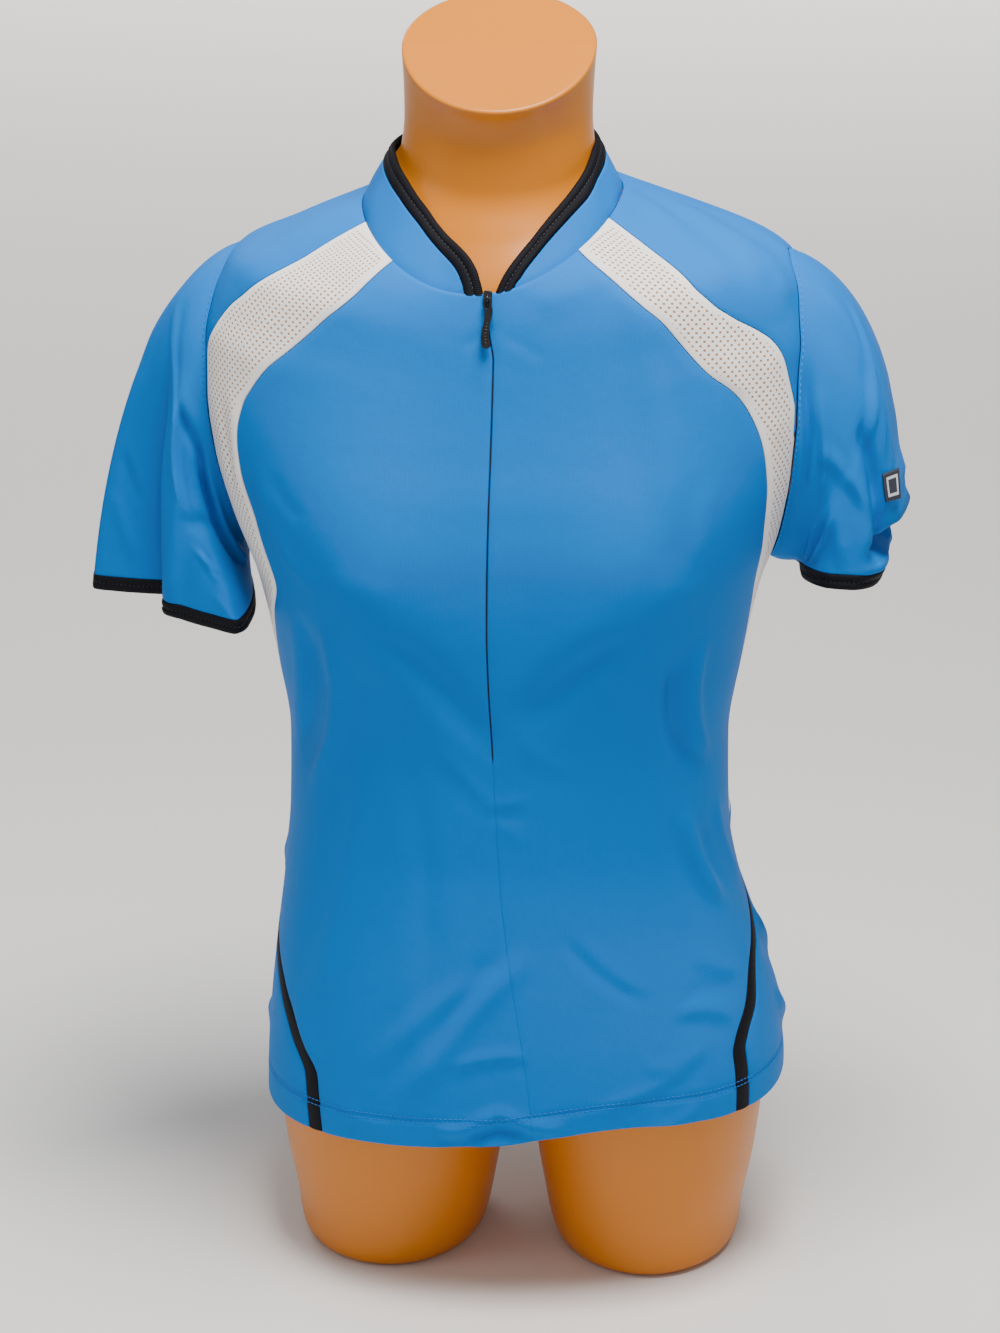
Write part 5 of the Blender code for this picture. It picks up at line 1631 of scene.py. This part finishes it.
def make_slider(finish):
    """The slider's shield-shaped body, with the small bridge that the pull's eye hangs on."""
    right = [(point.half, point.up) for point in SLIDER_OUTLINE]
    left = [(-half, up) for half, up in reversed(right)]
    mesh = tab_mesh("slider_body", (right + left,), SLIDER_WALL, SLIDER_EDGE)
    out = np.array([0, -math.cos(SLIDER_TURN), -math.sin(SLIDER_TURN)])
    place = np.array(PULL_AXIS) - out * SLIDER_AXIS_OUT
    put_mesh(mesh, SLIDER_TURN, place + out * (SLIDER_FACE - SLIDER_WALL / 2))
    link("slider_body", mesh, finish, "zip_slider", "black_zip")
    foot = SLIDER_FACE - BRIDGE_SUNK
    line = [(foot, BRIDGE_RADIUS)]
    for turn in np.radians(np.linspace(90, -90, BRIDGE_STEPS)):
        line.append((SLIDER_AXIS_OUT + BRIDGE_RADIUS * math.cos(turn), BRIDGE_RADIUS * math.sin(turn)))
    line = np.array([(0.0, -away, up) for away, up in line + [(foot, -BRIDGE_RADIUS)]])
    aside = np.cross(unit(np.gradient(line, axis=0)), np.array([1.0, 0.0, 0.0]))
    across = np.array([BRIDGE_HALF_WIDTH, 0, 0])
    turns = full_circle(BRIDGE_SIDES)
    rows = []
    for centre, side in zip(line, aside):
        ring = centre + across * np.cos(turns)[:, None] + side * BRIDGE_HALF_WALL * np.sin(turns)[:, None]
        rows.append(ring @ tilt(SLIDER_TURN).T + place - OFFSET)
    return link("slider_bridge", capped("slider_bridge", rows), finish, None, "black_zip")


# ---- Patch

def between(corners, u, v):
    """Values inside a square from those at its corners, which go round it."""
    shares = ((1 - u) * (1 - v), u * (1 - v), u * v, (1 - u) * v)
    return sum(corner * share for corner, share in zip(corners, shares))


def make_patch(finish, thread):
    """The flat woven square on the right sleeve, and the stitches round it."""
    u, v = np.meshgrid(np.linspace(0, 1, PATCH_STEPS), np.linspace(0, 1, PATCH_STEPS))
    turn, part = (between(column(PATCH_CORNERS, name), u, v) for name in PatchCorner._fields)
    points = sleeve_points("right", turn, part)
    flat = between(points[[0, 0, -1, -1], [0, -1, -1, 0]], u[..., None], v[..., None])
    normal = unit(sleeve_normals("right", turn, part).mean(axis=(0, 1)))
    proud = np.maximum((points - flat) @ normal, 0).max()
    to_edge = np.minimum(np.minimum(u, 1 - u), np.minimum(v, 1 - v))
    lift = proud + PATCH_LIFT - PATCH_EDGE_DROP * (1 - np.clip(to_edge / PATCH_SEAM, 0, 1) ** 0.5)
    outer = flat + normal * lift[..., None]
    inner = flat + normal * (lift - PATCH_WALL)[..., None]
    uv = np.stack([u, v], -1)
    mesh = shell("patch_square", outer, inner, uv, uv)
    patch = link("patch_square", mesh, finish, "sleeve_patch", "black_binding")
    low, high = PATCH_SEAM, 1 - PATCH_SEAM
    corners = np.array([(low, low), (high, low), (high, high), (low, high), (low, low)]) * (PATCH_STEPS - 1)
    path = [
        start + (end - start) * t
        for start, end in zip(corners, corners[1:])
        for t in np.linspace(0, 1, PATCH_SIDE_STEPS, endpoint=False)
    ]
    columns, rows = np.round(path + path[:1]).astype(int).T
    line = outer[rows, columns]
    normals = np.broadcast_to(normal, line.shape)
    stitches("patch_stitches", line, normals, PATCH_STITCH, thread, "black_binding")
    return patch


# ---- Materials

class Nodes:
    """Short names for building a material's node tree."""

    def __init__(self, name, colour, roughness):
        """A material of one colour and roughness, to which nodes are added."""
        self.material = bpy.data.materials.new(name)
        self.material.use_nodes = True
        self.tree = self.material.node_tree
        self.shader = self.tree.nodes["Principled BSDF"]
        self.shader.inputs["Base Color"].default_value = (*colour, 1)
        self.shader.inputs["Roughness"].default_value = roughness

    def add(self, kind, inputs=(), **settings):
        """A new node with its settings and inputs."""
        node = self.tree.nodes.new(kind)
        for key, value in settings.items():
            setattr(node, key, value)
        for socket, value in inputs:
            self.put(node.inputs[socket], value)
        return node

    def put(self, socket, value):
        """Links an output to a socket, or sets the socket's own value."""
        if isinstance(value, bpy.types.NodeSocket):
            self.tree.links.new(value, socket)
        else:
            socket.default_value = value

    def maths(self, operation, a, b=0.0):
        """The result of a step of arithmetic."""
        return self.add("ShaderNodeMath", [(0, a), (1, b)], operation=operation).outputs[0]

    def waves(self, place, period):
        """Waves from -1 to 1 along a length."""
        return self.maths("SINE", self.maths("MULTIPLY", place, 2 * math.pi / period))

    def uv(self, layer):
        """The two values of a UV layer."""
        vector = self.add("ShaderNodeUVMap", uv_map=layer).outputs["UV"]
        node = self.add("ShaderNodeSeparateXYZ", [(0, vector)])
        return node.outputs[0], node.outputs[1]

    def place(self):
        """The place on the piece, in metres."""
        return self.add("ShaderNodeTexCoord").outputs["Object"]

    def noise(self, vector, scale, detail=3.0, roughness=0.5):
        """Soft noise from 0 to 1, with so many features to the metre."""
        inputs = [("Vector", vector), ("Scale", scale), ("Detail", detail), ("Roughness", roughness)]
        return self.add("ShaderNodeTexNoise", inputs).outputs["Fac"]

    def smooth(self, value, low, high):
        """0 below low and 1 above high, smoothly between them."""
        values = enumerate((value, low, high, 0.0, 1.0))
        return self.add("ShaderNodeMapRange", values, interpolation_type="SMOOTHSTEP").outputs[0]

    def mix(self, factor, a, b):
        """A blend of two colours."""
        node = self.add("ShaderNodeMix", [("Factor", factor)], data_type="RGBA")
        for socket, given in ((6, a), (7, b)):
            self.put(node.inputs[socket], given if isinstance(given, bpy.types.NodeSocket) else (*given, 1))
        return node.outputs[2]

    def colour(self, value):
        """Sets the colour."""
        self.put(self.shader.inputs["Base Color"], value)

    def rough(self, value, low, high):
        """Sets the roughness, from low where the value is 0 to high where it is 1."""
        node = self.add("ShaderNodeMapRange", enumerate((value, 0.0, 1.0, low, high)))
        self.put(self.shader.inputs["Roughness"], node.outputs[0])

    def bump(self, height, distance, strength=1.0, below=None):
        """Lays a relief on the surface, over another one if it is given, and returns it."""
        inputs = [("Height", height), ("Distance", distance), ("Strength", strength)]
        node = self.add("ShaderNodeBump", inputs)
        if below is not None:
            self.put(node.inputs["Normal"], below)
        self.put(self.shader.inputs["Normal"], node.outputs[0])
        return node.outputs[0]


def knit_height(n, u, v):
    """The relief of a fine knit: rows of stitches that lean to both sides."""
    across = n.waves(u, WALE)
    lean = n.maths("MULTIPLY", n.maths("ABSOLUTE", across), COURSE * 0.5)
    up = n.waves(n.maths("ADD", v, lean), COURSE)
    return n.maths("ADD", n.maths("MULTIPLY", across, 0.5), n.maths("MULTIPLY", up, 0.35))


def jersey_finish():
    """Bright blue knit, with fine flecks and a little uneven."""
    n = Nodes("knit_blue", (0.0, 0.155, 0.54), 0.6)
    u, v = n.uv("knit")
    place = n.place()
    cloud = n.noise(place, 9.0, 3.0)
    fleck = n.noise(place, 900.0, 2.0, 0.7)
    deep = n.mix(cloud, (0.0, 0.150, 0.520), (0.0, 0.165, 0.560))
    n.colour(n.mix(n.maths("MULTIPLY", fleck, 0.22), deep, (0.0, 0.21, 0.66)))
    n.rough(fleck, 0.50, 0.66)
    soft = n.bump(n.noise(place, 70.0, 3.0, 0.55), 0.0011, 0.28)
    n.bump(knit_height(n, u, v), 0.00006, 0.5, soft)
    n.shader.inputs["Specular IOR Level"].default_value = 0.08
    return n.material


def mesh_finish():
    """White knit with staggered pin holes, plain along its seams."""
    n = Nodes("knit_white_mesh", (0.93, 0.90, 0.86), 0.62)
    u, v = n.uv("knit")
    to_edge, _ = n.uv("edge")

    def from_middle(length, shift, pitch):
        """The way along a length from the middle of the hole's own step."""
        steps = n.maths("DIVIDE", n.maths("ADD", length, shift), pitch)
        return n.maths("MULTIPLY", n.maths("SUBTRACT", n.maths("FRACT", steps), 0.5), pitch)

    def from_hole(shift_u, shift_v):
        """The way from the nearest hole's middle."""
        dx, dy = from_middle(u, shift_u, HOLE_PITCH), from_middle(v, shift_v, 2 * HOLE_ROW)
        return n.maths("SQRT", n.maths("ADD", n.maths("MULTIPLY", dx, dx), n.maths("MULTIPLY", dy, dy)))

    near = n.maths("MINIMUM", from_hole(1.0, 1.0), from_hole(1.0 + HOLE_PITCH / 2, 1.0 + HOLE_ROW))
    hole = n.maths("SUBTRACT", 1.0, n.smooth(near, HOLE_RADIUS * HOLE_CORE, HOLE_RADIUS * HOLE_RIM))
    hole = n.maths("MULTIPLY", hole, n.smooth(to_edge, HOLE_MARGIN, HOLE_MARGIN + HOLE_MARGIN_FADE))
    place = n.place()
    white = n.mix(n.noise(place, 14.0, 3.0), (0.90, 0.86, 0.81), (0.95, 0.92, 0.88))
    n.colour(n.mix(hole, white, (0.42, 0.20, 0.09)))
    n.rough(n.noise(place, 600.0), 0.55, 0.70)
    soft = n.bump(n.noise(place, 80.0, 3.0), 0.0009, 0.25)
    knit = n.maths("MULTIPLY", knit_height(n, u, v), 0.25)
    n.bump(n.maths("SUBTRACT", knit, n.maths("MULTIPLY", hole, 2.0)), 0.00022, 0.8, soft)
    n.shader.inputs["Sheen Weight"].default_value = 0.10
    n.shader.inputs["Specular IOR Level"].default_value = 0.35
    return n.material


def binding_finish():
    """Black elastic tape with fine ribs across it."""
    n = Nodes("tape_black", (0.004, 0.004, 0.006), 0.6)
    u, _ = n.uv("knit")
    place = n.place()
    fleck = n.noise(place, 700.0, 3.0, 0.7)
    n.colour(n.mix(fleck, (0.003, 0.003, 0.005), (0.010, 0.010, 0.014)))
    n.rough(fleck, 0.52, 0.74)
    soft = n.bump(n.noise(place, 160.0, 3.0), 0.0006, 0.3)
    n.bump(n.waves(u, RIB), 0.00008, 0.6, soft)
    n.shader.inputs["Specular IOR Level"].default_value = 0.09
    return n.material


def plastic_finish():
    """The form's tan plastic: satin, with a faint orange peel and a little uneven colour."""
    n = Nodes("plastic_tan", (0.60, 0.19, 0.008), 0.38)
    place = n.place()
    n.colour(n.mix(n.noise(place, 6.0, 4.0), (0.58, 0.175, 0.006), (0.64, 0.200, 0.010)))
    n.rough(n.noise(place, 40.0, 4.0), 0.30, 0.44)
    n.bump(n.noise(place, 420.0, 2.0), 0.00012, 0.35)
    n.shader.inputs["Coat Weight"].default_value = 0.06
    n.shader.inputs["Coat Roughness"].default_value = 0.25
    n.shader.inputs["Specular IOR Level"].default_value = 0.30
    return n.material


def zip_finish(name, rough_low, rough_high):
    """Black zip parts, smoother or rougher."""
    n = Nodes(name, (0.012, 0.012, 0.014), 0.4)
    place = n.place()
    wear = n.noise(place, 350.0, 4.0)
    n.colour(n.mix(wear, (0.004, 0.004, 0.005), (0.012, 0.012, 0.014)))
    n.rough(wear, rough_low, rough_high)
    n.bump(n.noise(place, 1500.0, 2.0), 0.00005, 0.4)
    return n.material


def thread_finish(name, dark, light):
    """Twisted sewing thread."""
    n = Nodes(name, light, 0.6)
    place = n.place()
    n.colour(n.mix(n.noise(place, 2200.0, 2.0, 0.7), dark, light))
    n.rough(n.noise(place, 1500.0), 0.45, 0.65)
    n.bump(n.noise(place, 3000.0, 2.0), 0.00006, 0.5)
    return n.material


def patch_finish():
    """Woven square: dark ground with a pale frame."""
    n = Nodes("woven_patch", (0.03, 0.03, 0.05), 0.6)
    u, v = n.uv("knit")
    aside, above = (n.maths("ABSOLUTE", n.maths("SUBTRACT", way, 0.5)) for way in (u, v))
    from_middle = n.maths("MAXIMUM", aside, above)
    inner = n.smooth(from_middle, 0.24, 0.26)
    outer = n.maths("SUBTRACT", 1.0, n.smooth(from_middle, 0.34, 0.36))
    fleck = n.noise(n.place(), 900.0, 3.0, 0.7)
    ground = n.mix(fleck, (0.012, 0.014, 0.030), (0.035, 0.038, 0.060))
    n.colour(n.mix(n.maths("MULTIPLY", inner, outer), ground, (0.55, 0.58, 0.62)))
    n.rough(fleck, 0.55, 0.75)
    n.bump(n.waves(v, 1 / PATCH_RIBS), 0.00006, 0.6)
    return n.material


# ---- Assembly of the cloth

# Panels: the solid and the piece, slot, lower and upper height, near and far edge, the width that sets the
# columns, whether there is a hem, and how deep the near and the far edge are drawn in
Panel = namedtuple("Panel", "node piece slot heights edges width hem seams")
LOW, TIP, HIGH = TRUNK[0].side_z, STRIPE_TOP, TRUNK[-1].side_z
YOKE_EDGES, STRIPE_EDGES = (yoke_front_edge, yoke_back_edge), (front_edge, stripe_back_edge)
SIDE_PANELS = table(
    Panel,
    ("front", "front", "blue_jersey", (LOW, HIGH), (zip_edge, front_edge), 0.175, True, (1, 0.9)),
    ("mesh", "mesh", "white_mesh", (TIP, HIGH), (front_edge, mesh_back_edge), 0.040, False, (0.9, 0.7)),
    ("shoulder", "yoke", "blue_jersey", (YOKE_TIP, HIGH), YOKE_EDGES, 0.045, False, (0.7, SOFT_SEAM)),
    ("side_stripe", "stripe", "black_binding", (LOW, TIP), STRIPE_EDGES, 0.012, True, (1, 1)),
)
BACK_PANEL = Panel(
    "back", "back", "blue_jersey", (LOW, HIGH), (back_edge, far_back_edge), 0.36, True, (0.8, 0.8)
)


def make_panel(kind, side_name, side, finish):
    """The piece of a panel, on a side or across both."""
    name = f"cloth_{kind.piece}{side_name}"
    mesh = panel(name, side, kind.heights, kind.edges, kind.width, kind.hem, kind.seams)
    return link(name, mesh, finish, f"{kind.node}{side_name}", kind.slot)


def make_cloth(blue, white, black):
    """The panels, the sleeves, the collar and the bindings, by the names of their solids."""
    finishes = {"blue_jersey": blue, "white_mesh": white, "black_binding": black}
    made = {}
    for side_name, side in SIDES.items():
        for kind in SIDE_PANELS:
            node = f"{kind.node}_{side_name}"
            made[node] = make_panel(kind, f"_{side_name}", side, finishes[kind.slot])
        made[f"sleeve_{side_name}"] = make_sleeve(side_name, blue)
        made[f"cuff_binding_{side_name}"] = make_cuff_binding(side_name, black)
    made["back"] = make_panel(BACK_PANEL, "", 1, blue)
    made["collar"] = make_collar(blue)
    made["collar_binding"] = make_collar_binding(black)
    return made


def make_stitching(hem_thread, lit_armhole_thread, black_thread):
    """Two rows above the hem, and one row along each armhole, each cuff's binding and the collar's."""
    angles = np.linspace(0, 360, HEM_STITCH_POINTS)
    for n, (above, out) in enumerate(HEM_ROWS):
        level = np.full(angles.shape, (HEM_HEIGHT + above) / TRUNK_LENGTH)
        points, normals = on_trunk(angles, level, out)
        stitches(f"stitches_hem_{n}", points, normals, HEM_STITCH, hem_thread, "blue_jersey")
    for side_name in SIDES:
        turns = np.linspace(-ARMHOLE_STITCH_TURN, ARMHOLE_STITCH_TURN, ARMHOLE_STITCH_POINTS)
        part = np.full(turns.shape, ARMHOLE_STITCH_PART)
        points, normals = on_sleeve(side_name, turns, part, -SEAM_DIP * SOFT_SEAM)
        # The right armhole's stitches take a lighter blue thread than the left's, which share the hem's
        # thread: painted light on the right side's seam
        thread = lit_armhole_thread if side_name == "right" else hem_thread
        stitches(f"stitches_armhole_{side_name}", points, normals, SEAM_STITCH, thread, "blue_jersey")
        turns = np.linspace(-180, 180, CUFF_STITCH_POINTS)
        part, _ = parts_at(side_name, turns, CUFF_BINDING * BINDING_SEAM)
        points, normals = on_sleeve(side_name, turns, part, -BINDING_WALL * BINDING_GROOVE)
        stitches(f"stitches_cuff_{side_name}", points, normals, BINDING_STITCH, black_thread, "black_binding")
    angle, rise = binding_line(COLLAR_BINDING * BINDING_SEAM)
    points, normals = on_collar(angle, rise, -BINDING_WALL * BINDING_GROOVE)
    sewn = slice(COLLAR_STITCH_INSET, -COLLAR_STITCH_INSET)
    stitches("stitches_collar", points[sewn], normals[sewn], BINDING_STITCH, black_thread, "black_binding")


def declare_sheets(made):
    for node, obj in made.items():
        cut = CUTS[node]
        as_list(cut.rests_on)


# ---- Stage

def make_stage():
    """A plain pale floor, wide enough to reach past the view."""
    turns = full_circle(FLOOR_SIDES)
    verts = [(FLOOR_RADIUS * math.cos(turn), FLOOR_RADIUS * math.sin(turn), 0.0) for turn in turns]
    mesh = bpy.data.meshes.new("floor")
    mesh.from_pydata(verts, [], [range(len(verts))])
    floor = bpy.data.objects.new("floor", mesh)
    bpy.context.scene.collection.objects.link(floor)
    n = Nodes("floor_pale", (0.84, 0.82, 0.79), 0.7)
    n.colour(n.mix(n.noise(n.place(), 1.2, 2.0), (0.82, 0.80, 0.77), (0.86, 0.84, 0.81)))
    mesh.materials.append(n.material)
    floor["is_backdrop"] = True


def area_light(light):
    """A soft box at its place, turned to its target."""
    data = bpy.data.lights.new(light.name, "AREA")
    data.shape = "RECTANGLE"
    data.size, data.size_y = light.size
    data.energy = light.power
    data.color = light.colour
    obj = bpy.data.objects.new(light.name, data)
    bpy.context.scene.collection.objects.link(obj)
    obj.location = light.place
    obj.rotation_euler = (Vector(light.target) - Vector(light.place)).to_track_quat("-Z", "Y").to_euler()


def make_lights():
    """The studio's pale surroundings and its soft boxes."""
    world = bpy.data.worlds.new("studio")
    bpy.context.scene.world = world
    world.use_nodes = True
    background = world.node_tree.nodes["Background"]
    background.inputs["Color"].default_value = (*SKY_COLOUR, 1)
    background.inputs["Strength"].default_value = SKY_STRENGTH
    for light in LIGHTS:
        area_light(light)


def make_camera():
    """The camera in front of the jersey, a little above it and to one side."""
    azimuth, elevation = math.radians(CAMERA_AZIMUTH), math.radians(CAMERA_ELEVATION)
    level = math.cos(elevation)
    back = Vector((math.sin(azimuth) * level, -math.cos(azimuth) * level, math.sin(elevation)))
    data = bpy.data.cameras.new("camera")
    data.lens = CAMERA_LENS
    data.sensor_width = SENSOR
    camera = bpy.data.objects.new("camera", data)
    bpy.context.scene.collection.objects.link(camera)
    camera.location = Vector(CAMERA_TARGET) + back * CAMERA_DISTANCE
    camera.rotation_euler = (-back).to_track_quat("-Z", "Y").to_euler()
    data.clip_start, data.clip_end = CAMERA_CLIP
    bpy.context.scene.camera = camera


def main():
    """Makes every piece, the stage, the lights and the camera."""
    blue, white, black = jersey_finish(), mesh_finish(), binding_finish()
    hem_thread = thread_finish("thread_hem", (0.0, 0.120, 0.430), (0.0, 0.175, 0.600))
    # A lighter blue thread, used only for the right armhole's stitches: painted light
    lit_armhole_thread = thread_finish("thread_armhole_lit", (0.0, 0.18, 0.58), (0.0, 0.26, 0.76))
    black_thread = thread_finish("thread_black", (0.006, 0.006, 0.008), (0.020, 0.020, 0.024))
    zip_black = zip_finish("zip_black", 0.25, 0.42)
    made = make_cloth(blue, white, black)
    make_stitching(hem_thread, lit_armhole_thread, black_thread)
    made["zip_tape"] = make_zip_tape(zip_finish("zip_tape_black", 0.55, 0.75))
    make_zip_coil(zip_black)
    make_pull(zip_black)
    make_grip(zip_black)
    make_slider(zip_black)
    made["sleeve_patch"] = make_patch(patch_finish(), black_thread)
    make_form(plastic_finish())
    declare_sheets(made)
    make_stage()
    make_lights()
    make_camera()
    [[list(corner) for corner in box] for box in (CAD_BOX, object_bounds())]


main()
